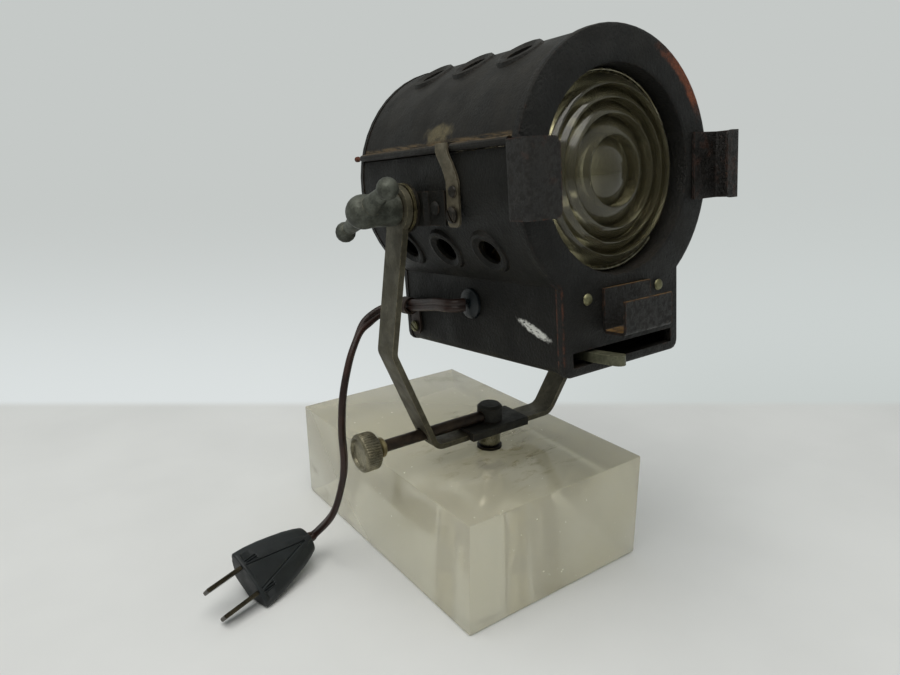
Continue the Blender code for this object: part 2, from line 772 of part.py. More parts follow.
def build_back_plate(looks, head_pivot, origin):
    outline = keyhole(
        SHELL_RADIUS + 0.0003, SHELL_HALF_WIDTH + 0.0003, SHELL_DROP + 0.0003, LOWER_CORNER
    )
    parts = prism(outline, HEAD_LENGTH - PLATE_THICKNESS, HEAD_LENGTH, "Y")
    rim = [edge for edge in parts.edges if all(abs(v.co.y - HEAD_LENGTH) < 1e-6 for v in edge.verts)]
    bmesh.ops.bevel(parts, geom=rim, offset=0.0011, segments=2, profile=0.5, affect="EDGES")
    solid("back_plate", parts, looks["crinkle"], head_pivot, origin)


def lens_profile():
    """Half section of the stepped lens, from the middle of its front to the middle of its back."""
    points = []
    for inner, outer in LENS_STEPS:
        steps = 4 if inner == 0.0 else 2
        for step in range(steps + 1):
            share = step / steps
            radius = inner + (outer - inner) * share
            fall = share**2 if inner == 0.0 else share * (0.75 + 0.25 * share)
            points.append((radius, LENS_CREST_Y + LENS_STEP_DEPTH * fall))
    points.append((LENS_STEPS[-1][1], LENS_RIM_Y))
    points.append((LENS_RADIUS, LENS_RIM_Y))
    points.append((LENS_RADIUS, LENS_BACK_Y))
    points.append((0.0, LENS_BACK_Y))
    cleaned = [points[0]]
    for point in points[1:]:
        if (Vector(point) - Vector(cleaned[-1])).length > 1e-5:
            cleaned.append(point)
    return cleaned


def build_lens(looks, head_pivot, origin):
    solid(
        "fresnel_lens",
        turned(lens_profile(), "Y", (0.0, 0.0, 0.0), 40),
        looks["glass"],
        head_pivot,
        origin,
    )
    start, end = RING_GAP
    sweep = 2 * math.pi - (end - start)
    steps = 40
    parts = bmesh.new()
    rings = []
    sides = 5
    y = LENS_RIM_Y - RING_WIRE - GAP
    for step in range(steps + 1):
        angle = end + sweep * step / steps
        outward = Vector((math.cos(angle), 0.0, math.sin(angle)))
        ring = []
        for side in range(sides):
            turn = 2 * math.pi * side / sides
            offset = outward * math.cos(turn) * RING_WIRE + Vector(
                (0.0, math.sin(turn) * RING_WIRE, 0.0)
            )
            ring.append(parts.verts.new(outward * RING_RADIUS + offset + Vector((0.0, y, 0.0))))
        rings.append(ring)
    for here, there in zip(rings, rings[1:]):
        for side in range(sides):
            after = (side + 1) % sides
            parts.faces.new((here[side], here[after], there[after], there[side]))
    parts.faces.new(rings[0][::-1])
    parts.faces.new(rings[-1])
    solid("lens_ring", parts, looks["spring_steel"], head_pivot, origin)


def clip_outline(base, lip, reach):
    """Section of a filter clip: base on the plate, web forward, lip inward. First value is outward."""
    sheet = CLIP_SHEET / 2
    path = [
        (reach - base, -GAP - sheet),
        (reach, -GAP - sheet),
        (reach, -CLIP_DEPTH + sheet),
        (reach - lip, -CLIP_DEPTH + sheet),
    ]
    return ribbon(rounded(path, 0.0012, 3, closed=False), CLIP_SHEET)


def build_clips(looks, head_pivot, origin):
    half = CLIP_WIDTH / 2
    reach = CLIP_X - CLIP_SHEET / 2
    lips = {"left": CLIP_LIP_LEFT, "right": CLIP_LIP_RIGHT}
    for side, label in ((-1, "left"), (1, "right")):
        outline = [(side * x, y) for x, y in clip_outline(0.0135, lips[label], reach)]
        clip = solid(
            f"filter_clip_{label}",
            prism(outline, -half - 0.0004, half - 0.0004, "Z"),
            looks["crinkle"],
            head_pivot,
            origin,
        )
        trim_lip_corners(clip, side, lips[label], reach)
    reach = -CLIP_BOTTOM_Z - CLIP_SHEET / 2
    outline = [(y, -z) for z, y in clip_outline(0.0150, CLIP_LIP_BOTTOM, reach)]
    low = CLIP_BOTTOM_X - half
    solid(
        "filter_clip_bottom",
        prism(outline, low, low + CLIP_WIDTH, "X"),
        looks["crinkle"],
        head_pivot,
        origin,
    )


def trim_lip_corners(clip, side, lip, reach):
    """Rounds the two free corners of a side clip's lip."""
    radius = 0.0026
    edge = side * (reach - lip)
    for end, label in ((1, "top"), (-1, "bottom")):
        corner_z = end * CLIP_WIDTH / 2 - 0.0004
        centre = (edge + side * radius, corner_z - end * radius)
        sweep = arc(
            centre,
            radius,
            math.pi if side > 0 else 0.0,
            math.pi / 2 * end if side > 0 else math.pi / 2 * end,
            4,
        )
        if side > 0 and end < 0:
            sweep = arc(centre, radius, math.pi, 1.5 * math.pi, 4)
        outside = (edge - side * 0.001, corner_z + end * 0.001)
        outline = [
            outside, (edge - side * 0.001, centre[1])
        ] + sweep + [(centre[0], corner_z + end * 0.001)]
        cutter = prism(outline, -CLIP_DEPTH - 0.001, -CLIP_DEPTH + CLIP_SHEET + 0.0008, "Y")
        combine(clip, "DIFFERENCE", cutter, f"corner_{label}")


def dome(axis, centre, radius, height, sign, steps=12):
    """A domed rivet head that stands on the point centre and rises along sign times the axis."""
    profile = [(0.0, 0.0), (radius, 0.0)]
    profile += [
        (radius * math.cos(a), sign * height * math.sin(a))
        for a in (math.radians(30 * i) for i in (1, 2))
    ]
    profile += [(0.0, sign * height)]
    return turned(profile, axis, centre, steps)


def slotted_head(name, axis, centre, radius, height, sign, material, pivot, origin, slot_angle):
    """A screw head with a straight slot."""
    profile = [
        (0.0, 0.0),
        (radius, 0.0),
        (radius, sign * height * 0.55),
        (radius * 0.72, sign * height),
        (0.0, sign * height),
    ]
    head = solid(name, turned(profile, axis, centre, 20), material, pivot, origin)
    depth = height * 0.5
    slot = box(
        (-radius * 1.3, -radius * 0.16, height - depth),
        (radius * 1.3, radius * 0.16, height + depth),
    )
    turn = Matrix.Rotation(slot_angle, 4, "Z")
    flip = Matrix.Scale(sign, 4, (0, 0, 1))
    bmesh.ops.transform(
        slot, matrix=Matrix.Translation(centre) @ axis_matrix(axis) @ flip @ turn, verts=slot.verts
    )
    combine(head, "DIFFERENCE", slot, "slot")


def build_front_fasteners(looks, head_pivot, origin):
    for side, label in ((-1, "left"), (1, "right")):
        place = (side * 0.0182, -GAP, -0.0413)
        solid(
            f"front_rivet_{label}",
            dome("Y", place, 0.0021, 0.0009, -1),
            looks["old_brass"],
            head_pivot,
            origin,
        )


def build_brackets(looks, head_pivot, origin):
    low = BRACKET_Z - BRACKET_WIDTH / 2
    high = BRACKET_Z + BRACKET_WIDTH / 2
    for side, label in ((-1, "left"), (1, "right")):
        path = [
            (side * BRACKET_FLANGE_X, TRUNNION_Y - BRACKET_HALF),
            (side * BRACKET_FLANGE_X, TRUNNION_Y - BRACKET_HAT_HALF - 0.0012),
            (side * BRACKET_HAT_X, TRUNNION_Y - BRACKET_HAT_HALF),
            (side * BRACKET_HAT_X, TRUNNION_Y + BRACKET_HAT_HALF),
            (side * BRACKET_FLANGE_X, TRUNNION_Y + BRACKET_HAT_HALF + 0.0012),
            (side * BRACKET_FLANGE_X, TRUNNION_Y + BRACKET_HALF),
        ]
        sheet = ribbon(path, BRACKET_SHEET)
        bracket = solid(
            f"trunnion_bracket_{label}",
            prism(sheet, low, high, "Z"),
            looks["crinkle"],
            head_pivot,
            origin,
        )
        eye = (0.0, TRUNNION_Y, TRUNNION_Z)
        ends = sorted((side * (BRACKET_HAT_X - 0.003), side * (BRACKET_HAT_X + 0.003)))
        combine(bracket, "DIFFERENCE", rod("X", eye, PIVOT_HOLE_RADIUS, *ends), "pivot_hole")
        ends = sorted(
            (side * (BRACKET_HAT_X - 0.0022), side * (BRACKET_HAT_X - BRACKET_SHEET / 2 - GAP))
        )
        nut = solid(
            f"trunnion_nut_{label}",
            rod("X", eye, 0.0048, *ends, 6),
            looks["steel"],
            head_pivot,
            origin,
        )
        combine(
            nut,
            "DIFFERENCE",
            rod("X", eye, PIVOT_HOLE_RADIUS - 0.0001, ends[0] - 0.001, ends[1] + 0.001),
            "thread",
        )
        face = side * (BRACKET_FLANGE_X + BRACKET_SHEET / 2 + GAP)
        for end, place in ((-1, "front"), (1, "rear")):
            y = TRUNNION_Y + end * (BRACKET_HAT_HALF + BRACKET_HALF) / 2
            rivet = dome("X", (face, y, BRACKET_Z), 0.0026, 0.0015, side)
            solid(f"bracket_rivet_{label}_{place}", rivet, looks["crinkle"], head_pivot, origin)


def build_latch_foot(looks, head_pivot, origin):
    """The fixed end of the latch strap, with its rivet and slotted screw."""
    outline = [
        (0.0362, 0.0002),
        (0.0292, 0.0002),
        (0.0296, -0.0125),
        (0.0313, -0.0150),
        (0.0347, -0.0150),
        (0.0364, -0.0125),
    ]
    face = -SHELL_RADIUS - GAP
    foot = prism(outline, face - 0.0007, face, "X")
    solid("latch_foot", foot, looks["strap"], head_pivot, origin)
    outside = face - 0.0007 - GAP
    solid(
        "latch_rivet",
        dome("X", (outside, 0.0322, -0.0030), 0.0021, 0.0012, -1),
        looks["copper_rivet"],
        head_pivot,
        origin,
    )
    slotted_head(
        "latch_screw",
        "X",
        (outside, 0.0330, -0.0108),
        0.0028,
        0.0015,
        -1,
        looks["dark_steel"],
        head_pivot,
        origin,
        math.radians(60),
    )


def build_cord_hardware(looks, head_pivot, origin):
    wall = -SHELL_HALF_WIDTH
    profile = [
        (0.0, wall - 0.0022),
        (0.0040, wall - 0.0022),
        (0.0058, wall - 0.0012),
        (0.0060, wall - GAP),
        (0.0043, wall - GAP),
        (0.0043, wall + SHELL_THICKNESS + GAP),
        (0.0056, wall + SHELL_THICKNESS + GAP),
        (0.0054, wall + 0.0028),
        (0.0, wall + 0.0028),
    ]
    solid(
        "grommet",
        turned(profile, "X", (0.0, GROMMET_Y, GROMMET_Z), 24),
        looks["rubber"],
        head_pivot,
        origin,
    )
    outer = CORD_RADIUS + 0.0016
    cord_x = CORD_ON_HEAD[5][0]
    low, high = CLAMP_Y - 0.0026, CLAMP_Y + 0.0026
    loop = tube("Y", (cord_x, 0.0, CLAMP_CORD_Z), outer, CORD_RADIUS + GAP + 0.0004, low, high, 20)
    clamp = solid("cord_clamp", loop, looks["clamp"], head_pivot, origin)
    plate_x = wall - GAP
    tab = [(CLAMP_Y - 0.0030, CLAMP_CORD_Z + 0.0018), (CLAMP_Y + 0.0030, CLAMP_CORD_Z + 0.0018)]
    tab += arc((CLAMP_Y, CLAMP_SCREW_Z), 0.0036, 0.0, -math.pi, 8)
    combine(clamp, "UNION", prism(tab, plate_x - 0.0009, plate_x, "X"), "tab")
    place = (plate_x - 0.0009 - GAP, CLAMP_Y, CLAMP_SCREW_Z)
    slotted_head(
        "clamp_screw",
        "X",
        place,
        0.0024,
        0.0014,
        -1,
        looks["old_brass"],
        head_pivot,
        origin,
        math.radians(35),
    )


def build_inside(looks, head_pivot, origin):
    low, high = PLATE_THICKNESS + 2 * GAP, HEAD_LENGTH - PLATE_THICKNESS - 2 * GAP
    for side, label in ((-1, "left"), (1, "right")):
        rail = rod("Y", (side * RAIL_X, 0.0, RAIL_Z), 0.0015, low, high, 12)
        solid(f"carriage_rail_{label}", rail, looks["steel"], head_pivot, origin)
    reach = SHELL_HALF_WIDTH - SHELL_THICKNESS - GAP
    solid(
        "lever_guide",
        rod("X", (0.0, GUIDE_Y, SLOT_Z), GUIDE_RADIUS, -reach, reach, 12),
        looks["steel"],
        head_pivot,
        origin,
    )
    pin = (BEAD_X, 0.0, BEAD_Z)
    solid(
        "hinge_rod",
        rod("Y", pin, WIRE_RADIUS, low, HEAD_LENGTH + 0.0012, 8),
        looks["steel"],
        head_pivot,
        origin,
    )


def build_focus_lever(looks, lever_pivot):
    """The sliding focus lever, drawn from its own rest place on the slot's centre line."""
    half = 0.0017
    outline = [
        (-0.0018, 0.0420),
        (-0.0018, -0.0010),
        (-0.0006, -0.0104),
    ]
    outline += arc((0.0016, -0.0102), 0.0022, math.pi, 2 * math.pi, 6)[1:-1]
    outline += [(0.0038, -0.0102), (0.0024, -0.0010), (0.0024, 0.0420)]
    lever_parts = prism(outline, -half, half, "Z")
    lever = solid("focus_lever", lever_parts, looks["cast_grey"], lever_pivot)
    slider = box((-0.0045, GUIDE_Y - 0.0040, -0.0030), (0.0045, GUIDE_Y + 0.0040, 0.0030))
    combine(lever, "UNION", slider, "slider")
    combine(
        lever,
        "DIFFERENCE",
        rod("X", (0.0, GUIDE_Y, 0.0), GUIDE_RADIUS + GAP, -0.006, 0.006, 12),
        "guide_bore",
    )
    pin_top = -0.0557 - SLOT_Z
    combine(
        lever,
        "UNION",
        rod("Z", (0.0, FOCUS_PIN_Y, 0.0), FOCUS_PIN_RADIUS, 0.0010, pin_top, 12),
        "pin",
    )


def build_carriage(looks, carriage_pivot):
    """The lamp carriage, drawn from the bulb's place on the lens axis."""
    plate_low, plate_high = -0.0572, -0.0555
    front, rear = -0.0320, 0.0262
    plate = box((-0.0255, front, plate_low), (0.0255, rear, plate_high))
    carriage = solid("lamp_carriage", plate, looks["bare_steel"], carriage_pivot)
    for side, label in ((-1, "left"), (1, "right")):
        low, high = sorted((side * (RAIL_X - 0.0035), side * (RAIL_X + 0.0035)))
        runner = box((low, front, plate_low), (high, rear, RAIL_Z + 0.0033))
        combine(carriage, "UNION", runner, f"runner_{label}")
        bore = rod(
            "Y",
            (side * RAIL_X, 0.0, RAIL_Z),
            0.0015 + GAP + 0.0001,
            front - 0.001,
            rear + 0.001,
            12,
        )
        combine(carriage, "DIFFERENCE", bore, f"bore_{label}")
    reach = 0.0221
    ends = []
    for x in (-reach, reach):
        ends.append(Vector((x, FOCUS_PIN_Y - BULB_Y - FOCUS_RATIO * (x - FOCUS_REST_X))))
    along = (ends[1] - ends[0]).normalized()
    width = FOCUS_PIN_RADIUS + 0.0005
    across = Vector((-along.y, along.x)) * width
    start, end = ends[0] - along * width, ends[1] + along * width
    outline = [tuple(start - across), tuple(end - across), tuple(end + across), tuple(start + across)]
    combine(
        carriage,
        "DIFFERENCE",
        prism(outline, plate_low - 0.001, plate_high + 0.0002, "Z"),
        "cam_slot",
    )

    foot = plate_high + GAP
    socket = [
        (0.0, foot),
        (0.0100, foot),
        (0.0100, foot + 0.0040),
        (0.0088, foot + 0.0055),
        (0.0088, -0.0345),
        (0.0080, -0.0335),
        (0.0071, -0.0335),
        (0.0071, -0.0500),
        (0.0, -0.0500),
    ]
    solid("lamp_socket", turned(socket, steps=24), looks["porcelain"], carriage_pivot)
    cap = [(0.0, -0.0497), (0.0066, -0.0497), (0.0068, -0.0300), (0.0052, -0.0280), (0.0, -0.0280)]
    solid("bulb_cap", turned(cap, steps=20), looks["brass"], carriage_pivot)
    glass = [(0.0, -0.0277), (0.0048, -0.0277), (0.0052, -0.0200)]
    glass += [
        (0.0110 * math.cos(a), 0.0110 * math.sin(a))
        for a in (math.radians(d) for d in (-55, -35, -12, 12, 36, 60))
    ]
    glass += [(0.0, 0.0110)]
    solid("bulb", turned(glass, steps=20), looks["bulb_glass"], carriage_pivot)

    curve, edge, sheet = 0.0220, 0.0190, 0.0008
    last = math.asin(edge / curve)
    inner = [(curve * math.sin(last * i / 6), curve * math.cos(last * i / 6)) for i in range(7)]
    outer = [
        ((curve + sheet) * math.sin(last * i / 6), (curve + sheet) * math.cos(last * i / 6))
        for i in range(7)
    ]
    dish = turned(inner + outer[::-1], "Y", (0.0, 0.0, 0.0), 20)
    reflector = solid("reflector", dish, looks["mirror"], carriage_pivot)
    post = box((-0.0050, curve + 0.0002, foot), (0.0050, curve + 0.0014, -0.0040))
    combine(reflector, "UNION", post, "post")


# ---------------------------------------------------------------------------------- hood and latch


def build_hood(looks, hood_pivot, origin):
    low, high = shell_ends()
    start = math.asin((BEAD_Z + 0.0006) / SHELL_RADIUS)
    outer = arc((0.0, 0.0), SHELL_RADIUS, start, math.pi - start, 36)
    inner = arc((0.0, 0.0), SHELL_RADIUS - SHELL_THICKNESS, math.pi - start, start, 36)
    hood = solid("hood", prism(outer + inner, low, high, "Y"), looks["hood"], hood_pivot, origin)
    add_vents(hood, (math.pi - HOOD_VENT_ANGLE, HOOD_VENT_ANGLE))
    for side, label in ((-1, "left"), (1, "right")):
        centre = (side * BEAD_X, 0.0, BEAD_Z)
        combine(
            hood, "UNION", rod("Y", centre, BEAD_RADIUS, low + SHY, high - SHY, 10), f"bead_{label}"
        )
        combine(
            hood,
            "DIFFERENCE",
            rod("Y", centre, BEAD_BORE, low - 0.001, high + 0.001, 8),
            f"bore_{label}",
        )
    knuckle = rod("Y", (BEAD_X, 0.0, BEAD_Z), BEAD_RADIUS + 0.0005, KNUCKLE[0], KNUCKLE[1], 16)
    combine(hood, "DIFFERENCE", knuckle, "knuckle_gap")
    low_gap, high_gap = LATCH_GAP
    notch = box(
        (-BEAD_X - 0.003, low_gap, BEAD_Z - 0.003), (-BEAD_X + 0.0018, high_gap, BEAD_Z + 0.0019)
    )
    combine(hood, "DIFFERENCE", notch, "latch_gap")
    wire = rod("Y", (-BEAD_X, 0.0, BEAD_Z), WIRE_RADIUS, low, HEAD_LENGTH + 0.0002, 8)
    made = solid("latch_wire", wire, looks["rusty_wire"], hood_pivot, origin)
    knob = rod(
        "Y", (-BEAD_X, 0.0, BEAD_Z), 0.0011, HEAD_LENGTH - 0.0002, HEAD_LENGTH + 0.0022, 12, 0.0005
    )
    combine(made, "UNION", knob, "end")


def build_latch_hook(looks, hook_pivot, origin):
    """The springing end of the latch strap, which reaches up beside the bead's wire."""
    low_z, high_z = 0.0008, 0.0128
    lean = 0.0046
    half = 0.0033
    bottom_y, sheet = 0.0326, 0.0007
    path = [
        (-0.04695, low_z),
        (-0.04705, 0.0050),
        (-0.0482, 0.0096),
        (-0.0480, high_z - 0.0006),
        (-0.0474, high_z),
    ]
    parts = prism(ribbon(path, sheet), bottom_y - half, bottom_y + half, "Y")
    for vert in parts.verts:
        vert.co.y += lean * (vert.co.z - low_z) / (high_z - low_z)
    solid("latch_hook", parts, looks["strap"], hook_pivot, origin)


# ---------------------------------------------------------------------------------- cord and plug


def smooth_route(points, spacing):
    """Evenly spread points on a smooth curve (Catmull-Rom) through the route's own points."""
    route = [Vector(p) for p in points]
    route = [route[0] * 2 - route[1]] + route + [route[-1] * 2 - route[-2]]
    fine = []
    pieces = 16
    for a, b, c, d in zip(route, route[1:], route[2:], route[3:]):
        for step in range(pieces):
            t = step / pieces
            bend = a * 2 - b * 5 + c * 4 - d
            twist = b * 3 - a - c * 3 + d
            fine.append(0.5 * (b * 2 + (c - a) * t + bend * t**2 + twist * t**3))
    fine.append(route[-2])
    lengths = [0.0]
    for here, there in zip(fine, fine[1:]):
        lengths.append(lengths[-1] + (there - here).length)
    count = max(2, round(lengths[-1] / spacing))
    result = []
    index = 0
    for step in range(count + 1):
        target = lengths[-1] * step / count
        while index < len(fine) - 2 and lengths[index + 1] < target:
            index += 1
        share = (target - lengths[index]) / max(1e-9, lengths[index + 1] - lengths[index])
        result.append(fine[index].lerp(fine[index + 1], min(1.0, share)))
    return result


def cord(name, route, material):
    data = bpy.data.curves.new(name, "CURVE")
    data.dimensions = "3D"
    data.bevel_depth = CORD_RADIUS
    data.bevel_resolution = 2
    data.use_fill_caps = True
    spline = data.splines.new("POLY")
    spline.points.add(len(route) - 1)
    for target, point in zip(spline.points, route):
        target.co = (*point, 1.0)
    data.materials.append(material)
    made = bpy.data.objects.new(name, data)
    bpy.context.scene.collection.objects.link(made)


def plug_matrix():
    turn_x, turn_y, turn_z = PLUG_TURN
    turn = Matrix.Rotation(turn_z, 4, "Z") @ Matrix.Rotation(turn_y, 4, "Y") @ Matrix.Rotation(turn_x, 4, "X")
    return Matrix.Translation(PLUG_PLACE) @ turn


def plug_section(x):
    """Half width, top and underside of the plug body at a distance from its face."""
    share = x / PLUG_LENGTH
    for (start, low), (end, high) in zip(PLUG_HALF_WIDTHS, PLUG_HALF_WIDTHS[1:]):
        if x <= end + 1e-9:
            half_width = low + (high - low) * (x - start) / (end - start)
            break
    return half_width, PLUG_TOP - 0.0009 * share**2, PLUG_UNDERSIDE + 0.0012 * share**2


def plug_cord_height():
    half_width, top, underside = plug_section(PLUG_LENGTH)
    return (top + underside) / 2


def build_plug(looks):
    """The plug body: a flat top, a rounded widest edge and sides slanting in to the underside."""
    parts = bmesh.new()
    rings = []
    for x in (point[0] for point in PLUG_HALF_WIDTHS):
        half_width, top, underside = plug_section(x)
        foot = max(0.0026, half_width - 0.0080)
        belly = PLUG_BELLY * min(1.0, 1.6 * x / PLUG_LENGTH)
        half = [
            (max(0.0015, half_width - 0.0048), top),
            (half_width - 0.0010, top - 0.0019),
            (half_width, top - 0.0032),
            (half_width - 0.0005, top - 0.0043),
            ((half_width + foot) / 2 + belly, (top - 0.0043 + underside) / 2 - belly),
            (foot + 0.0006, underside + 0.0005),
            (foot - 0.0006, underside),
        ]
        section = half + [(-y, z) for y, z in reversed(half)]
        rings.append([parts.verts.new((x, y, z)) for y, z in section])
    sides = len(rings[0])
    for here, there in zip(rings, rings[1:]):
        for side in range(sides):
            after = (side + 1) % sides
            parts.faces.new((here[side], here[after], there[after], there[side]))
    parts.faces.new(rings[0][::-1])
    parts.faces.new(rings[-1])
    bmesh.ops.transform(parts, matrix=plug_matrix(), verts=parts.verts)
    solid("plug_body", parts, looks["plug"])
    for side, label in ((1, "upper"), (-1, "lower")):
        y = side * BLADE_SPACING / 2
        low, high = (-BLADE_LENGTH, y - BLADE_HALF, -0.0032), (-GAP, y + BLADE_HALF, 0.0030)
        name = f"plug_blade_{label}"
        blade_parts = box(low, high, 0.0004, 1)
        bmesh.ops.transform(blade_parts, matrix=plug_matrix(), verts=blade_parts.verts)
        blade = solid(name, blade_parts, looks["blade"])
        hole = rod("Y", (-BLADE_LENGTH + 0.0031, 0.0, 0.0), 0.0016, y - 0.002, y + 0.002, 12)
        bmesh.ops.transform(hole, matrix=plug_matrix(), verts=hole.verts)
        combine(blade, "DIFFERENCE", hole, "hole")


def build_cord(looks):
    """The cord as two tubes on one smooth route, which meet behind the left yoke arm."""
    tail = plug_matrix() @ Vector((PLUG_LENGTH + CORD_END_GAP, 0.0, plug_cord_height()))
    approach = plug_matrix() @ Vector((PLUG_LENGTH + 0.006, 0.0, plug_cord_height()))
    route = [on_head(point) for point in CORD_ON_HEAD]
    route += [Vector(point) for point in (*CORD_BEHIND_ARM, CORD_JUNCTION, *CORD_LOWER)]
    whole = smooth_route(route + [approach, tail], CORD_RADIUS * 2.2)
    junction = Vector(CORD_JUNCTION)
    split = min(range(len(whole)), key=lambda index: (whole[index] - junction).length)
    cord("cord_upper", whole[: split + 1], looks["cord"])
    lower = whole[split:]
    lower[0] = lower[0] + (lower[1] - lower[0]).normalized() * CORD_END_GAP
    cord("cord_lower", lower, looks["cord"])


def main():
    clear_scene()
    looks = {
        "acrylic": look("acrylic", (0.62, 0.62, 0.48), 0.08, transmission=0.9),
        "steel": look("steel", (0.45, 0.45, 0.42), 0.35, 1.0),
        "bare_steel": look("bare_steel", (0.40, 0.39, 0.36), 0.45, 1.0),
        "dark_steel": look("dark_steel", (0.07, 0.06, 0.05), 0.5, 0.9),
        "spring_steel": look("spring_steel", (0.55, 0.52, 0.42), 0.3, 1.0),
        "nickel": look("nickel", (0.50, 0.48, 0.42), 0.3, 1.0),
        "aged_steel": look("aged_steel", (0.13, 0.11, 0.08), 0.5, 0.8),
        "cast": look("cast", (0.035, 0.034, 0.032), 0.65, 0.5),
        "cast_grey": look("cast_grey", (0.13, 0.14, 0.13), 0.6, 0.5),
        "brass_washer": look("brass_washer", (0.25, 0.21, 0.13), 0.5, 0.8),
        "old_brass": look("old_brass", (0.24, 0.22, 0.13), 0.45, 0.8),
        "brass": look("brass", (0.55, 0.40, 0.15), 0.35, 1.0),
        "copper_rivet": look("copper_rivet", (0.06, 0.05, 0.05), 0.4, 0.8),
        "crinkle": look("crinkle", (0.014, 0.013, 0.012), 0.55),
        "hood": look("hood", (0.022, 0.020, 0.018), 0.6),
        "strap": look("strap", (0.19, 0.16, 0.13), 0.5, 0.6),
        "clamp": look("clamp", (0.05, 0.035, 0.03), 0.6),
        "rusty_wire": look("rusty_wire", (0.16, 0.06, 0.03), 0.8, 0.3),
        "glass": look("glass", (0.75, 0.75, 0.65), 0.05, transmission=1.0),
        "bulb_glass": look("bulb_glass", (0.85, 0.85, 0.82), 0.1, transmission=0.9),
        "porcelain": look("porcelain", (0.75, 0.72, 0.65), 0.35),
        "mirror": look("mirror", (0.8, 0.8, 0.78), 0.12, 1.0),
        "rubber": look("rubber", (0.012, 0.016, 0.018), 0.6),
        "plug": look("plug", (0.012, 0.017, 0.018), 0.5),
        "blade": look("blade", (0.10, 0.08, 0.05), 0.4, 0.9),
        "cord": look("cord", (0.045, 0.018, 0.012), 0.5),
    }
    build_base(looks)

    pan_pivot = empty("pan_pivot", (0.0, PAN_Y, 0.0))
    build_yoke(looks, pan_pivot)
    build_friction_stack(looks, pan_pivot)
    lock_pivot = empty("lock_pivot", (0.0, 0.0, LOCK_Z), parent=pan_pivot)
    build_lock_screw(looks, lock_pivot)
    tilt_place = Vector(tilt_axis_place()) - Vector((0.0, PAN_Y, 0.0))
    knob_pivot = empty("tilt_knob_pivot", tilt_place, parent=pan_pivot)
    build_tilt_knob(looks, knob_pivot)

    head_pivot = empty("head_pivot", tilt_place, (HEAD_TILT, 0.0, 0.0), pan_pivot)
    origin = Vector((0.0, -TRUNNION_Y, -TRUNNION_Z))
    build_front_plate(looks, head_pivot, origin)
    build_housing(looks, head_pivot, origin)
    build_back_plate(looks, head_pivot, origin)
    build_lens(looks, head_pivot, origin)
    build_clips(looks, head_pivot, origin)
    build_front_fasteners(looks, head_pivot, origin)
    build_brackets(looks, head_pivot, origin)
    build_latch_foot(looks, head_pivot, origin)
    build_cord_hardware(looks, head_pivot, origin)
    build_inside(looks, head_pivot, origin)

    hinge = Vector((BEAD_X, 0.0, BEAD_Z))
    hood_pivot = empty("hood_pivot", origin + hinge, parent=head_pivot)
    build_hood(looks, hood_pivot, -hinge)
    hook_place = Vector((-0.04695, 0.0326, 0.0005))
    hook_pivot = empty("hook_pivot", origin + hook_place, parent=head_pivot)
    build_latch_hook(looks, hook_pivot, -hook_place)
    lever_pivot = empty("lever_pivot", origin + Vector((FOCUS_REST_X, 0.0, SLOT_Z)), parent=head_pivot)
    build_focus_lever(looks, lever_pivot)
    carriage_pivot = empty("carriage_pivot", origin + Vector((0.0, BULB_Y, 0.0)), parent=head_pivot)
    build_carriage(looks, carriage_pivot)

    build_plug(looks)
    build_cord(looks)


main()
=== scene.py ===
"""The looks of a small studio Fresnel spotlight on a clear display block.

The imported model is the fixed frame. This script paints its nodes, and builds finer pieces for the
cord, the plug, the lens, the latch strap, the bolt and the knurled knob. Lengths are in metres.
The lamp head is drawn in its own frame (X right, Y back, Z up, from the middle of its front plate).
"""

import math

import bmesh
import bpy
from mathutils import Matrix, Vector


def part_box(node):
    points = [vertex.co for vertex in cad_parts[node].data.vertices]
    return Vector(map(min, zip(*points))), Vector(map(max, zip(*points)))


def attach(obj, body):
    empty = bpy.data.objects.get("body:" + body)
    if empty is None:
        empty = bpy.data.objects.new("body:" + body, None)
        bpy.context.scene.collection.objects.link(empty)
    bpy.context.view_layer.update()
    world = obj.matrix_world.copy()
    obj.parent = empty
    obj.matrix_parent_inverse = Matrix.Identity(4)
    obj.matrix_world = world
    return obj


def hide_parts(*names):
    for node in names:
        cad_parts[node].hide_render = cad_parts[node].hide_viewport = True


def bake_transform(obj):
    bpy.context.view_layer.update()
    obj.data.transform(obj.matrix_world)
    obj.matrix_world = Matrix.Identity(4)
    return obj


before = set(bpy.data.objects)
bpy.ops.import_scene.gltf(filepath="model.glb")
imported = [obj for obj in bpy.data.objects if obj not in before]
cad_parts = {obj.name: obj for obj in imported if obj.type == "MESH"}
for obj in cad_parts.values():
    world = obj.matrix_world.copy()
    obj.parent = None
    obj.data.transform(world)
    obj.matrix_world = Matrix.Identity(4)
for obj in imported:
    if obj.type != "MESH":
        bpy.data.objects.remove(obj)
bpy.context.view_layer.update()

# ---------------------------------------------------------------------------------- places

HEAD_TILT = math.radians(-5.8)
TRUNNION_ON_HEAD = Vector((0.0, 0.0586, -0.0080))
TILT_AXIS = Vector((0.0, -0.03652, 0.1656))
PAN_Y = -0.0241
HEAD = (
    Matrix.Translation(TILT_AXIS)
    @ Matrix.Rotation(HEAD_TILT, 4, "X")
    @ Matrix.Translation(-TRUNNION_ON_HEAD)
)

CAMERA_PLACE = Vector((-0.1902, -0.2597, 0.1980))
CAMERA_AZIMUTH = math.radians(-35.53)
CAMERA_ELEVATION = math.radians(17.38)
CAMERA_ROLL = math.radians(-0.59)
CAMERA_LENS = 28.47
WALL_DISTANCE = 0.471
WALL_SKEW = -0.012

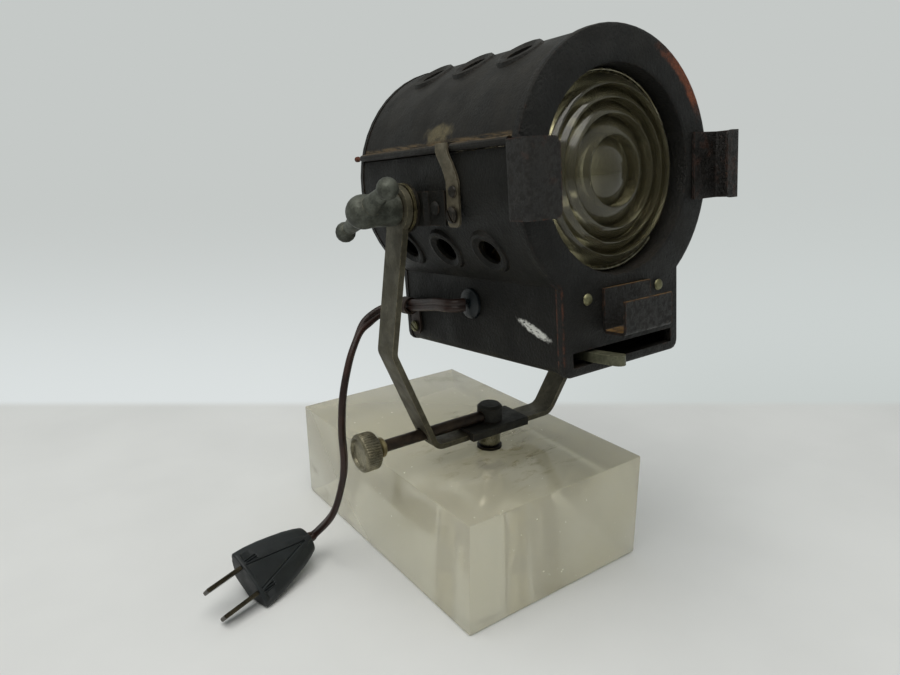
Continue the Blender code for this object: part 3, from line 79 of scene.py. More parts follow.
# The flat cord: its route, on the head and then in the row frame.
CORD_CORE = 0.00150
CORD_PITCH = 0.0022
CORD_ON_HEAD = (
    (-0.0326, 0.0503, -0.0460),
    (-0.0358, 0.0514, -0.0460),
    (-0.0372, 0.0550, -0.0461),
    (-0.0364, 0.0640, -0.0467),
    (-0.0342, 0.0780, -0.0488),
    (-0.0334, 0.0900, -0.0503),
    (-0.0345, 0.0985, -0.0518),
)
CORD_BEHIND_ARM = (
    (-0.0405, 0.0030, 0.1158),
    (-0.0492, 0.0020, 0.1112),
    (-0.0563, -0.0020, 0.1046),
    (-0.0608, -0.0042, 0.0968),
)
CORD_JUNCTION = (-0.0650, -0.0062, 0.0848)
CORD_LOWER = (
    (-0.0668, -0.0070, 0.0700),
    (-0.0662, -0.0062, 0.0560),
    (-0.0664, -0.0036, 0.0440),
    (-0.0692, 0.0018, 0.0270),
)

# The plug, in its own frame: X from its face to the cord, Y across the blades, Z up.
PLUG_PLACE = Vector((-0.1110, -0.0003, 0.0104))
PLUG_TURN = (math.radians(46.0), math.radians(-6.2), math.radians(16.4))
PLUG_LENGTH = 0.0341
PLUG_TOP = 0.0033
PLUG_UNDERSIDE = -0.0090
PLUG_BELLY = 0.0013
PLUG_HALF_WIDTHS = (
    (0.0, 0.0135),
    (0.006, 0.0131),
    (0.012, 0.0122),
    (0.018, 0.0109),
    (0.025, 0.0092),
    (0.030, 0.0075),
    (0.033, 0.0062),
    (PLUG_LENGTH, 0.0054),
)

PLUG_END_RADIUS = 0.0008

# Marks on the plug's top: two creases that spread towards its face, and grip ribs on each wing.
CREASE_FROM = 0.0016
CREASE_TO = 0.0300
CREASE_SPREAD = 0.0061
CREASE_RUN = 0.0285
CREASE_LEAST = 0.0003
CREASE_DEPTH = 0.00050
CREASE_WIDTH = 0.00040
WEDGE_DROP = 0.00025
RIBS_FROM = 0.0018
RIBS_TO = 0.0080
RIB_FADE = 0.0006
RIB_DEPTH = 0.00070
RIB_PITCH = 0.00100
RIB_CLEAR = 0.0008

LENS_STEPS = ((0.0, 0.0118), (0.0118, 0.0188), (0.0188, 0.0238), (0.0238, 0.0282), (0.0282, 0.0328))
LENS_CREST_Y = 0.0024
LENS_STEP_DEPTH = 0.0048
LENS_RIM_Y = 0.0082
LENS_BACK_Y = 0.0124
LENS_RADIUS = 0.0341

# The latch strap on the head, from its foot up: height, half width and place along the head.
LATCH_SHEET = 0.0009
LATCH_STATIONS = (
    (-0.0150, 0.0017, 0.0330),
    (-0.0146, 0.0026, 0.0330),
    (-0.0138, 0.0032, 0.0330),
    (-0.0125, 0.0034, 0.0330),
    (-0.0090, 0.0034, 0.0329),
    (-0.0040, 0.0034, 0.0328),
    (0.0002, 0.0034, 0.0327),
    (0.0030, 0.0033, 0.0336),
    (0.0060, 0.0033, 0.0347),
    (0.0085, 0.0033, 0.0356),
    (0.0105, 0.0033, 0.0364),
    (0.0122, 0.0032, 0.0370),
    (0.0132, 0.0030, 0.0373),
)

SMOOTH_ANGLE = math.radians(35)


def linear(red, green, blue):
    """A colour picked as 0 to 255 display values, as the linear values that shaders take."""
    values = [value / 255 for value in (red, green, blue)]
    return tuple(v / 12.92 if v <= 0.04045 else ((v + 0.055) / 1.055) ** 2.4 for v in values)


# ---------------------------------------------------------------------------------- mesh helpers


def mesh_object(name, parts, body, material, replaced=(), matrix=None):
    """A piece from a bmesh, smooth below SMOOTH_ANGLE, that rides on a CAD body."""
    if matrix is not None:
        bmesh.ops.transform(parts, matrix=matrix, verts=parts.verts)
    bmesh.ops.recalc_face_normals(parts, faces=parts.faces)
    mesh = bpy.data.meshes.new(name)
    parts.to_mesh(mesh)
    parts.free()
    mesh.shade_smooth()
    mesh.set_sharp_from_angle(angle=SMOOTH_ANGLE)
    mesh.materials.append(material)
    made = bpy.data.objects.new(name, mesh)
    bpy.context.scene.collection.objects.link(made)
    if body:
        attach(made, body)
    if replaced:
        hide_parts(*replaced)
    return made


def skin(parts, rings, closed_ends=True, looped=False):
    """Faces between successive rings of vertices, with flat ends."""
    pairs = list(zip(rings, rings[1:]))
    if looped:
        pairs.append((rings[-1], rings[0]))
    for here, there in pairs:
        count = len(here)
        for side in range(count):
            after = (side + 1) % count
            parts.faces.new((here[side], here[after], there[after], there[side]))
    if closed_ends and not looped:
        parts.faces.new(rings[0][::-1])
        parts.faces.new(rings[-1])


def axis_matrix(axis):
    """Turns a shape drawn round +Z so that it lies along +X or +Y."""
    if axis == "X":
        return Matrix.Rotation(math.pi / 2, 4, "Y")
    if axis == "Y":
        return Matrix.Rotation(-math.pi / 2, 4, "X")
    return Matrix.Identity(4)


def turned(profile, steps, ripple=None):
    """A closed solid of revolution round +Z from (radius, height) points. ripple(angle, height)
    is added to each radius that isn't zero."""
    parts = bmesh.new()
    rings = []
    for radius, height in profile:
        if radius == 0.0:
            rings.append([parts.verts.new((0.0, 0.0, height))])
            continue
        ring = []
        for step in range(steps):
            angle = 2 * math.pi * step / steps
            reach = radius + (ripple(angle, radius, height) if ripple else 0.0)
            ring.append(parts.verts.new((reach * math.cos(angle), reach * math.sin(angle), height)))
        rings.append(ring)
    for here, there in zip(rings, rings[1:]):
        for step in range(steps):
            after = (step + 1) % steps
            corners = [here[step % len(here)], here[after % len(here)]]
            corners += [there[after % len(there)], there[step % len(there)]]
            unique = list(dict.fromkeys(corners))
            if len(unique) > 2:
                parts.faces.new(unique)
    return parts


def smooth_route(points, spacing):
    """Evenly spread points on a smooth curve (Catmull-Rom) through the route's own points."""
    route = [Vector(p) for p in points]
    route = [route[0] * 2 - route[1]] + route + [route[-1] * 2 - route[-2]]
    fine = []
    pieces = 16
    for a, b, c, d in zip(route, route[1:], route[2:], route[3:]):
        for step in range(pieces):
            t = step / pieces
            bend = a * 2 - b * 5 + c * 4 - d
            twist = b * 3 - a - c * 3 + d
            fine.append(0.5 * (b * 2 + (c - a) * t + bend * t**2 + twist * t**3))
    fine.append(route[-2])
    lengths = [0.0]
    for here, there in zip(fine, fine[1:]):
        lengths.append(lengths[-1] + (there - here).length)
    count = max(2, round(lengths[-1] / spacing))
    result = []
    index = 0
    for step in range(count + 1):
        target = lengths[-1] * step / count
        while index < len(fine) - 2 and lengths[index + 1] < target:
            index += 1
        share = (target - lengths[index]) / max(1e-9, lengths[index + 1] - lengths[index])
        result.append(fine[index].lerp(fine[index + 1], min(1.0, share)))
    return result


# ---------------------------------------------------------------------------------- paint helpers


class Paint:
    """One procedural material, drawn in the piece's own coordinates."""

    def __init__(self, name, roughness=0.5, metallic=0.0, **sockets):
        self.material = bpy.data.materials.new(name)
        self.material.use_nodes = True
        self.tree = self.material.node_tree
        self.shader = self.tree.nodes["Principled BSDF"]
        self.shader.inputs["Roughness"].default_value = roughness
        self.shader.inputs["Metallic"].default_value = metallic
        for socket, value in sockets.items():
            self.shader.inputs[socket.replace("_", " ")].default_value = value
        self.place = self.node("ShaderNodeTexCoord").outputs["Object"]
        self.seed = 0.0
        self.normal = None

    def node(self, kind, **settings):
        made = self.tree.nodes.new(kind)
        for setting, value in settings.items():
            setattr(made, setting, value)
        return made

    def feed(self, socket, value):
        """Links a socket to another, or sets its value."""
        if isinstance(value, bpy.types.NodeSocket):
            self.tree.links.new(value, socket)
        elif isinstance(value, tuple) and len(value) == 3 and socket.type == "RGBA":
            socket.default_value = (*value, 1.0)
        else:
            socket.default_value = value

    def moved(self, location=(0, 0, 0), rotation=(0, 0, 0), scale=(1, 1, 1), source=None):
        mapping = self.node("ShaderNodeMapping")
        self.feed(mapping.inputs["Vector"], source or self.place)
        mapping.inputs["Location"].default_value = location
        mapping.inputs["Rotation"].default_value = rotation
        mapping.inputs["Scale"].default_value = scale
        return mapping.outputs["Vector"]

    def head_place(self):
        """Coordinates in the lamp head's own frame."""
        back = HEAD.inverted()
        return self.moved(back.to_translation(), tuple(back.to_euler()))

    def noise(self, size, detail=4.0, rough=0.55, stretch=(1, 1, 1), twist=0.0):
        """Noise from 0 to 1 whose features are about size across."""
        self.seed += 0.37
        texture = self.node("ShaderNodeTexNoise")
        shift = tuple(self.seed for _ in range(3))
        where = self.moved(location=shift, scale=stretch)
        self.feed(texture.inputs["Vector"], where)
        texture.inputs["Scale"].default_value = 1.0 / size
        texture.inputs["Detail"].default_value = detail
        texture.inputs["Roughness"].default_value = rough
        texture.inputs["Distortion"].default_value = twist
        return texture.outputs["Fac"]

    def cells(self, size):
        """Distance to the nearest of many scattered points, for a pebbled surface."""
        texture = self.node("ShaderNodeTexVoronoi", feature="SMOOTH_F1")
        self.feed(texture.inputs["Vector"], self.place)
        texture.inputs["Scale"].default_value = 1.0 / size
        return texture.outputs["Distance"]

    def math(self, operation, a, b=0.0):
        made = self.node("ShaderNodeMath", operation=operation)
        self.feed(made.inputs[0], a)
        self.feed(made.inputs[1], b)
        return made.outputs[0]

    def times(self, a, b):
        return self.math("MULTIPLY", a, b)

    def span(self, value, low, high, out_low=0.0, out_high=1.0):
        """Maps low..high to out_low..out_high, smoothly and clamped."""
        made = self.node("ShaderNodeMapRange", interpolation_type="SMOOTHSTEP")
        self.feed(made.inputs["Value"], value)
        made.inputs["From Min"].default_value = low
        made.inputs["From Max"].default_value = high
        made.inputs["To Min"].default_value = out_low
        made.inputs["To Max"].default_value = out_high
        return made.outputs["Result"]

    def mix(self, share, a, b):
        made = self.node("ShaderNodeMix", data_type="RGBA")
        self.feed(made.inputs[0], share)
        self.feed(made.inputs[6], a)
        self.feed(made.inputs[7], b)
        return made.outputs[2]

    def along(self, direction):
        """How far along a direction each point lies."""
        made = self.node("ShaderNodeVectorMath", operation="DOT_PRODUCT")
        self.feed(made.inputs[0], self.place)
        made.inputs[1].default_value = direction
        return made.outputs["Value"]

    def part(self, source, axis):
        made = self.node("ShaderNodeSeparateXYZ")
        self.feed(made.inputs[0], source)
        return made.outputs[axis]

    def spot(self, centre, radii, softness=0.35, wobble=0.0, size=0.003, source=None, turn=(0, 0, 0)):
        """1 inside an ellipsoid that fades out over softness, with an uneven edge."""
        where = self.moved(location=tuple(-c for c in centre), source=source)
        where = self.moved(rotation=turn, source=where)
        where = self.moved(scale=tuple(1 / r for r in radii), source=where)
        length = self.node("ShaderNodeVectorMath", operation="LENGTH")
        self.feed(length.inputs[0], where)
        reach = length.outputs["Value"]
        if wobble:
            uneven = self.times(self.math("SUBTRACT", self.noise(size), 0.5), wobble * 2)
            reach = self.math("ADD", reach, uneven)
        return self.span(reach, 1.0, 1.0 - softness)

    def edges(self, radius, low=0.02, high=0.25):
        """1 along sharp edges, 0 on flat faces."""
        bevel = self.node("ShaderNodeBevel", samples=4)
        bevel.inputs["Radius"].default_value = radius
        geometry = self.node("ShaderNodeNewGeometry")
        dot = self.node("ShaderNodeVectorMath", operation="DOT_PRODUCT")
        self.feed(dot.inputs[0], bevel.outputs["Normal"])
        self.feed(dot.inputs[1], geometry.outputs["Normal"])
        return self.span(self.math("SUBTRACT", 1.0, dot.outputs["Value"]), low, high)

    def crevice_dirt_and_shade(self, distance, low=0.35, high=0.95):
        """1 in crevices found by occlusion, 0 in the open: a mask for dirt and painted shade."""
        occlusion = self.node("ShaderNodeAmbientOcclusion", samples=6, only_local=False)
        occlusion.inputs["Distance"].default_value = distance
        return self.span(occlusion.outputs["AO"], high, low)

    def upward(self, low=0.3, high=1.0):
        """1 on faces that look up at rest."""
        facing = self.node("ShaderNodeTexCoord").outputs["Normal"]
        return self.span(self.part(facing, 2), low, high)

    def bump(self, height, distance, strength=1.0):
        made = self.node("ShaderNodeBump")
        made.inputs["Strength"].default_value = strength
        made.inputs["Distance"].default_value = distance
        self.feed(made.inputs["Height"], height)
        if self.normal is not None:
            self.feed(made.inputs["Normal"], self.normal)
        self.normal = made.outputs["Normal"]
        self.feed(self.shader.inputs["Normal"], self.normal)

    def finish(self, colour, roughness=None):
        self.feed(self.shader.inputs["Base Color"], colour)
        if roughness is not None:
            self.feed(self.shader.inputs["Roughness"], roughness)
        return self.material


def aged_metal(name, bright, dull, crevice_dirt_and_shade, worn=None, roughness=(0.35, 0.6), metallic=0.7,
               patch=0.006, grain=0.0006, pit=0.00004, edge=0.0005):
    """Old metal: patches of two tints, fine grain, dirt and painted shade in crevices, and worn edges."""
    paint = Paint(name, metallic=metallic)
    patches = paint.span(paint.noise(patch, 6.0, 0.65), 0.36, 0.64)
    colour = paint.mix(patches, linear(*dull), linear(*bright))
    fine = paint.noise(grain, 3.0, 0.6)
    speckle = paint.span(fine, 0.52, 0.72)
    dark = tuple(value * 0.45 for value in linear(*dull))
    colour = paint.mix(paint.times(speckle, 0.55), colour, dark)
    # Crevices found by occlusion darken towards the third colour: dirt and painted shade.
    crevice = paint.times(paint.crevice_dirt_and_shade(0.003), paint.span(paint.noise(0.002), 0.3, 0.6))
    colour = paint.mix(paint.times(crevice, 0.85), colour, linear(*crevice_dirt_and_shade))
    if worn:
        rubbed = paint.times(paint.edges(edge), paint.span(paint.noise(0.0025), 0.38, 0.6))
        colour = paint.mix(rubbed, colour, linear(*worn))
    rough = paint.span(paint.noise(patch * 0.7, 5.0), 0.3, 0.7, *roughness)
    paint.bump(fine, pit)
    return paint.finish(colour, rough)


# ---------------------------------------------------------------------------------- finishes


def crinkle(paint, dark, light, lift=0.55):
    """The colour and bump of a fine wrinkle paint, with painted glints. Returns the colour."""
    tone = paint.span(paint.noise(0.012, 7.0, 0.65), 0.3, 0.7)
    colour = paint.mix(tone, linear(*dark), linear(*light))
    wrinkles = paint.cells(0.0010)
    grain = paint.noise(0.00055, 4.0, 0.7)
    # Painted glints: small specks lifted towards three times the light tone.
    glint_fleck = paint.span(paint.noise(0.0008, 2.0, 0.5), 0.64, 0.74)
    glint_colour = tuple(value * 3.0 for value in linear(*light))
    colour = paint.mix(paint.times(glint_fleck, 0.45), colour, glint_colour)
    height = paint.math("ADD", paint.times(wrinkles, 0.7), grain)
    paint.bump(height, 0.0005, lift)
    return colour


def dusty(paint, colour, dust, amount=0.5):
    """Settled dust on what looks up, in an uneven film."""
    film = paint.times(paint.upward(), paint.span(paint.noise(0.009, 5.0), 0.35, 0.7))
    return paint.mix(paint.times(film, amount), colour, linear(*dust))


def housing_finish():
    paint = Paint("crinkle_black_shell", Specular_IOR_Level=0.24)
    colour = crinkle(paint, (9, 9, 6), (19, 18, 14))
    head = paint.head_place()
    rub = paint.times(paint.edges(0.0007), paint.span(paint.noise(0.004), 0.42, 0.62))
    colour = paint.mix(paint.times(rub, 0.7), colour, linear(74, 58, 42))
    streak = paint.spot((-0.029, 0.0150, -0.0519), (0.006, 0.0100, 0.0019), 0.45, 0.50, 0.0016, head,
                        (math.radians(-20), 0, 0))
    scratches = paint.span(paint.noise(0.0011, 5.0, 0.75, (1.0, 0.5, 1.6)), 0.36, 0.48)
    paint_loss = paint.times(streak, scratches)
    colour = paint.mix(paint_loss, colour, linear(222, 222, 216))
    colour = dusty(paint, colour, (58, 55, 47), 0.4)
    rough = paint.span(paint.noise(0.015, 4.0), 0.3, 0.7, 0.42, 0.62)
    return paint.finish(colour, rough)


def hood_finish():
    paint = Paint("hood_black", Specular_IOR_Level=0.28)
    colour = crinkle(paint, (17, 16, 13), (31, 29, 25), 0.45)
    head = paint.head_place()
    patch = paint.spot((-0.0440, 0.0445, 0.0172), (0.004, 0.0105, 0.0050), 0.55, 0.45, 0.0035, head)
    rubbed = paint.times(patch, paint.span(paint.noise(0.0030, 5.0, 0.6), 0.25, 0.60))
    colour = paint.mix(rubbed, colour, linear(96, 88, 66))
    height = paint.part(head, 2)
    side = paint.part(head, 0)
    above_bead = paint.times(paint.span(height, 0.0148, 0.0136), paint.span(height, 0.0122, 0.0130))
    seam = paint.times(above_bead, paint.span(side, -0.030, -0.040))
    streaks = paint.span(paint.noise(0.0030, 5.0, 0.7, (1, 0.35, 3)), 0.36, 0.60)
    colour = paint.mix(paint.times(seam, streaks), colour, linear(96, 80, 56))
    rub = paint.times(paint.edges(0.0007), paint.span(paint.noise(0.004), 0.40, 0.60))
    colour = paint.mix(paint.times(rub, 0.6), colour, linear(70, 54, 38))
    colour = dusty(paint, colour, (62, 59, 52), 0.3)
    rough = paint.span(paint.noise(0.015, 4.0), 0.3, 0.7, 0.45, 0.65)
    return paint.finish(colour, rough)


def front_plate_finish():
    paint = Paint("crinkle_black_front", Specular_IOR_Level=0.30)
    colour = crinkle(paint, (9, 9, 7), (21, 20, 16), 1.0)
    head = paint.head_place()
    rim = paint.edges(0.0012, 0.02, 0.2)
    right_top = paint.spot((0.0345, 0.0015, 0.0310), (0.021, 0.02, 0.0190), 0.6, 0.35, 0.006, head)
    inner = paint.spot((0, 0.002, 0), (0.0435, 0.05, 0.0435), 0.03, 0.03, 0.003, head)
    outer = paint.math("SUBTRACT", 1.0, inner)
    right_top = paint.times(right_top, outer)
    left_edge = paint.spot((-0.0297, 0.0015, -0.0480), (0.004, 0.012, 0.019), 0.4, 0.3, 0.005, head)
    flakes = paint.span(paint.noise(0.0022, 6.0, 0.7), 0.40, 0.56)
    rust = paint.math("MAXIMUM", right_top, paint.times(left_edge, rim))
    rust = paint.times(rust, paint.math("MAXIMUM", flakes, paint.times(right_top, 0.7)))
    colour = paint.mix(rust, colour, linear(122, 66, 40))
    rub = paint.times(rim, paint.span(paint.noise(0.0030, 6.0, 0.7), 0.50, 0.64))
    colour = paint.mix(paint.times(rub, 0.8), colour, linear(70, 44, 30))
    seat = paint.spot((0.0, 0.002, 0.0), (0.0345, 0.02, 0.0345), 0.03, 0.05, 0.004, head)
    grime = paint.span(paint.noise(0.006, 4.0), 0.35, 0.65, 0.25, 0.75)
    colour = paint.mix(paint.times(seat, grime), colour, linear(20, 18, 13))
    colour = dusty(paint, colour, (50, 42, 33), 0.4)
    rough = paint.span(paint.noise(0.010, 4.0), 0.3, 0.7, 0.40, 0.60)
    return paint.finish(colour, rough)


def clip_finish(name, dark, light, rust, amount, rust_low, shelf=None):
    """A folded sheet clip, with rust along its edges and in patches, and perhaps a bare shelf."""
    paint = Paint(name, Specular_IOR_Level=0.45)
    colour = crinkle(paint, dark, light, 0.8)
    flakes = paint.span(paint.noise(0.0022, 6.0, 0.7), 0.44, 0.60)
    rim = paint.times(paint.edges(0.0010, 0.02, 0.2), flakes)
    patches = paint.span(paint.noise(0.0055, 6.0, 0.65), rust_low, rust_low + 0.10)
    patches = paint.times(patches, amount)
    colour = paint.mix(paint.math("MAXIMUM", rim, patches), colour, linear(*rust))
    orange = paint.times(paint.span(paint.noise(0.0015, 4.0), 0.60, 0.72), rim)
    colour = paint.mix(orange, colour, linear(116, 70, 38))
    if shelf:
        bare = paint.times(paint.upward(0.6, 0.9), paint.span(paint.noise(0.003), 0.30, 0.55))
        colour = paint.mix(bare, colour, linear(*shelf))
    return paint.finish(colour, paint.span(flakes, 0.0, 1.0, 0.45, 0.75))


def acrylic_finish():
    """Clear acrylic that has yellowed: a glossy skin, a milky body and dirt on top."""
    paint = Paint("acrylic", Transmission_Weight=0.66, IOR=1.49)
    haze = paint.span(paint.noise(0.060, 3.0, 0.5), 0.3, 0.7)
    colour = paint.mix(haze, linear(252, 248, 232), linear(247, 242, 220))
    top = paint.span(paint.part(paint.place, 2), 0.0488, 0.0496)
    around_stem = paint.spot((0.0, PAN_Y, 0.050), (0.044, 0.060, 0.02), 0.9, 0.4, 0.018)
    streak = paint.span(paint.noise(0.010, 6.0, 0.7, (0.6, 1.5, 1.0), 0.6), 0.50, 0.66)
    grime = paint.times(paint.times(top, around_stem), streak)
    colour = paint.mix(paint.times(grime, 0.75), colour, linear(160, 142, 92))
    smear = paint.span(paint.noise(0.012, 5.0, 0.6), 0.40, 0.75, 0.03, 0.14)
    scuffs = paint.times(paint.span(paint.noise(0.0015, 3.0), 0.66, 0.74), 0.2)
    paint.bump(paint.noise(0.030, 2.0, 0.4), 0.00025, 0.25)
    material = paint.finish(colour, paint.math("ADD", smear, scuffs))
    depth = paint.node("ShaderNodeVolumeAbsorption")
    depth.inputs["Color"].default_value = (*linear(238, 236, 206), 1.0)
    depth.inputs["Density"].default_value = 1.6
    output = next(node for node in paint.tree.nodes if node.type == "OUTPUT_MATERIAL")
    paint.tree.links.new(depth.outputs["Volume"], output.inputs["Volume"])
    return material


def lens_finish():
    """Old pressed glass with a greenish grey film, darker in the valleys found by occlusion: film and
    painted shade.
    """
    paint = Paint("lens_glass", Transmission_Weight=0.88, IOR=1.50)
    film = paint.span(paint.noise(0.016, 5.0, 0.6), 0.3, 0.7)
    colour = paint.mix(film, linear(186, 180, 148), linear(158, 151, 118))
    # Darker in the valleys found by occlusion: film and painted shade.
    valley_film_and_shade = paint.crevice_dirt_and_shade(0.0025, 0.45, 0.95)
    colour = paint.mix(paint.times(valley_film_and_shade, 0.55), colour, linear(112, 104, 76))
    specks = paint.span(paint.noise(0.0012, 3.0), 0.70, 0.76)
    colour = paint.mix(paint.times(specks, 0.6), colour, linear(120, 108, 80))
    rough = paint.span(paint.noise(0.009, 5.0), 0.35, 0.75, 0.08, 0.24)
    paint.bump(paint.noise(0.006, 3.0), 0.00015, 0.35)
    return paint.finish(colour, rough)


def cord_finish():
    """Brown plastic cord, with painted shade: darker in its crevices found by occlusion."""
    paint = Paint("cord_jacket", Specular_IOR_Level=0.4)
    tone = paint.span(paint.noise(0.010, 5.0), 0.3, 0.7)
    colour = paint.mix(tone, linear(30, 17, 12), linear(52, 31, 23))
    # Painted shade: a darker cord tone where occlusion finds crevices.
    colour = paint.mix(paint.times(paint.crevice_dirt_and_shade(0.0012), 0.8), colour, linear(22, 13, 10))
    grain = paint.noise(0.0006, 3.0)
    paint.bump(grain, 0.00005, 0.5)
    return paint.finish(colour, paint.span(grain, 0.3, 0.7, 0.38, 0.55))


def plug_finish():
    """Dark blue-grey moulded rubber with a slight bloom, and painted shade in its crevices."""
    paint = Paint("plug_rubber")
    tone = paint.span(paint.noise(0.008, 5.0, 0.6), 0.3, 0.7)
    colour = paint.mix(tone, linear(14, 19, 21), linear(24, 30, 32))
    bloom = paint.times(paint.edges(0.0008), paint.span(paint.noise(0.003), 0.35, 0.6))
    colour = paint.mix(paint.times(bloom, 0.5), colour, linear(62, 70, 72))
    # Painted shade: a darker rubber tone where occlusion finds crevices.
    colour = paint.mix(paint.times(paint.crevice_dirt_and_shade(0.0010), 0.7), colour, linear(13, 16, 17))
    grain = paint.noise(0.0004, 3.0)
    paint.bump(grain, 0.00004, 0.5)
    return paint.finish(colour, paint.span(paint.noise(0.006), 0.3, 0.7, 0.42, 0.62))


def rubber_finish():
    paint = Paint("rubber", Specular_IOR_Level=0.4)
    tone = paint.span(paint.noise(0.004, 5.0), 0.3, 0.7)
    colour = paint.mix(tone, linear(6, 12, 15), linear(13, 21, 24))
    paint.bump(paint.noise(0.0008, 3.0), 0.00005, 0.5)
    return paint.finish(colour, paint.span(tone, 0.0, 1.0, 0.25, 0.45))


def bulb_finish():
    """Clear bulb glass with a light grey haze towards its crown."""
    paint = Paint("bulb_glass", Transmission_Weight=0.95, IOR=1.45)
    haze = paint.span(paint.noise(0.012, 3.0), 0.35, 0.7)
    colour = paint.mix(haze, linear(240, 240, 236), linear(205, 203, 196))
    return paint.finish(colour, paint.span(haze, 0.0, 1.0, 0.04, 0.16))


def rod_finish():
    """Brown-grey steel, with the brass colour of the collar behind the knob, and dirt and painted shade in
    its crevices.
    """
    paint = Paint("rod_steel", metallic=0.6)
    tone = paint.span(paint.noise(0.004, 5.0), 0.3, 0.7)
    steel = paint.mix(tone, linear(38, 31, 25), linear(64, 53, 42))
    brass = paint.mix(tone, linear(112, 101, 70), linear(158, 146, 108))
    collar = paint.span(paint.part(paint.place, 0), -0.0560, -0.0566)
    colour = paint.mix(collar, steel, brass)
    # Dirt and painted shade: darker where occlusion finds crevices.
    colour = paint.mix(paint.times(paint.crevice_dirt_and_shade(0.0010), 0.6), colour, linear(26, 20, 14))
    paint.bump(paint.noise(0.0010, 3.0), 0.00006, 0.5)
    return paint.finish(colour, paint.span(tone, 0.0, 1.0, 0.38, 0.58))


def porcelain_finish():
    paint = Paint("porcelain", Coat_Weight=0.4)
    tone = paint.span(paint.noise(0.007, 5.0), 0.3, 0.7)
    colour = paint.mix(tone, linear(206, 198, 180), linear(226, 220, 206))
    # Dirt and painted shade: darker brown where occlusion finds crevices.
    colour = paint.mix(paint.times(paint.crevice_dirt_and_shade(0.003), 0.7), colour, linear(120, 104, 82))
    paint.bump(paint.noise(0.0010, 3.0), 0.00003, 0.5)
    return paint.finish(colour, paint.span(tone, 0.0, 1.0, 0.25, 0.40))


# The third colour of each metal darkens its crevices: dirt and painted shade.
METALS = {
    "bolt_steel": dict(bright=(196, 196, 188), dull=(150, 150, 142), crevice_dirt_and_shade=(96, 90, 74), metallic=0.9,
                       roughness=(0.25, 0.45), worn=(214, 212, 204)),
    "dark_steel": dict(bright=(46, 42, 36), dull=(30, 28, 24), crevice_dirt_and_shade=(20, 16, 12), metallic=0.6,
                       roughness=(0.40, 0.62), worn=(104, 92, 76)),
    "nickel": dict(bright=(158, 156, 140), dull=(112, 110, 94), crevice_dirt_and_shade=(66, 58, 42), metallic=0.9,
                   roughness=(0.22, 0.42), worn=(188, 184, 168)),
    "yoke_paint": dict(bright=(96, 92, 76), dull=(70, 66, 52), crevice_dirt_and_shade=(44, 36, 26), metallic=0.55,
                       roughness=(0.42, 0.62), worn=(150, 140, 112), grain=0.0009, patch=0.010),
    "saddle_paint": dict(bright=(46, 45, 38), dull=(32, 31, 26), crevice_dirt_and_shade=(22, 17, 12), metallic=0.35,
                         roughness=(0.55, 0.75), worn=(96, 78, 56), pit=0.00014, grain=0.0011),
    "grey_paint": dict(bright=(94, 97, 88), dull=(58, 60, 52), crevice_dirt_and_shade=(40, 32, 22), metallic=0.45,
                       roughness=(0.48, 0.66), worn=(128, 122, 100), pit=0.00012, grain=0.0010),
    "washer_brass": dict(bright=(116, 108, 80), dull=(80, 74, 54), crevice_dirt_and_shade=(36, 30, 20), metallic=0.8,
                         roughness=(0.35, 0.52), worn=(166, 156, 118)),
    "rivet_brass": dict(bright=(134, 132, 100), dull=(100, 98, 70), crevice_dirt_and_shade=(50, 42, 26), metallic=0.75,
                        roughness=(0.35, 0.55), worn=(170, 164, 130)),
    "latch_steel": dict(bright=(118, 110, 92), dull=(88, 82, 66), crevice_dirt_and_shade=(46, 38, 28), metallic=0.6,
                        roughness=(0.38, 0.55), worn=(156, 148, 128), grain=0.0007),
    "rusty_steel": dict(bright=(112, 60, 38), dull=(74, 38, 24), crevice_dirt_and_shade=(34, 20, 14), metallic=0.2,
                        roughness=(0.65, 0.85), worn=(140, 96, 70), pit=0.00012),
    "spring_steel": dict(bright=(176, 172, 150), dull=(128, 122, 98), crevice_dirt_and_shade=(60, 52, 36), metallic=0.95,
                         roughness=(0.20, 0.40), worn=(206, 202, 184)),
    "bulb_brass": dict(bright=(170, 140, 84), dull=(120, 96, 56), crevice_dirt_and_shade=(52, 38, 20), metallic=0.95,
                       roughness=(0.25, 0.45), worn=(200, 176, 120)),
    "mirror": dict(bright=(208, 206, 198), dull=(176, 172, 160), crevice_dirt_and_shade=(110, 100, 80), metallic=1.0,
                   roughness=(0.10, 0.24), patch=0.012, pit=0.00002),
    "blade_brass": dict(bright=(72, 66, 52), dull=(46, 42, 33), crevice_dirt_and_shade=(24, 20, 14), metallic=0.85,
                        roughness=(0.28, 0.48), worn=(118, 108, 84)),
    "clamp_paint": dict(bright=(60, 46, 38), dull=(42, 32, 27), crevice_dirt_and_shade=(24, 18, 14), metallic=0.3,
                        roughness=(0.50, 0.68), worn=(104, 88, 70)),
}
KNOB_METAL = dict(bright=(150, 144, 122), dull=(108, 103, 84), crevice_dirt_and_shade=(46, 38, 26), metallic=0.85,
                  roughness=(0.32, 0.50), worn=(176, 172, 152))
LEVER_METAL = dict(bright=(104, 104, 84), dull=(72, 72, 56), crevice_dirt_and_shade=(40, 36, 26), metallic=0.5,
                   roughness=(0.42, 0.60), worn=(142, 140, 116), grain=0.0009)
CLIPS = {
    "clip_left": dict(dark=(14, 12, 9), light=(25, 22, 17), rust=(66, 38, 26), amount=0.30, rust_low=0.58),
    "clip_right": dict(dark=(11, 9, 6), light=(21, 16, 11), rust=(62, 34, 20), amount=0.45, rust_low=0.54),
    "clip_bottom": dict(dark=(10, 9, 7), light=(21, 19, 15), rust=(84, 52, 30), amount=0.25, rust_low=0.62,
                        shelf=(112, 84, 44)),
}


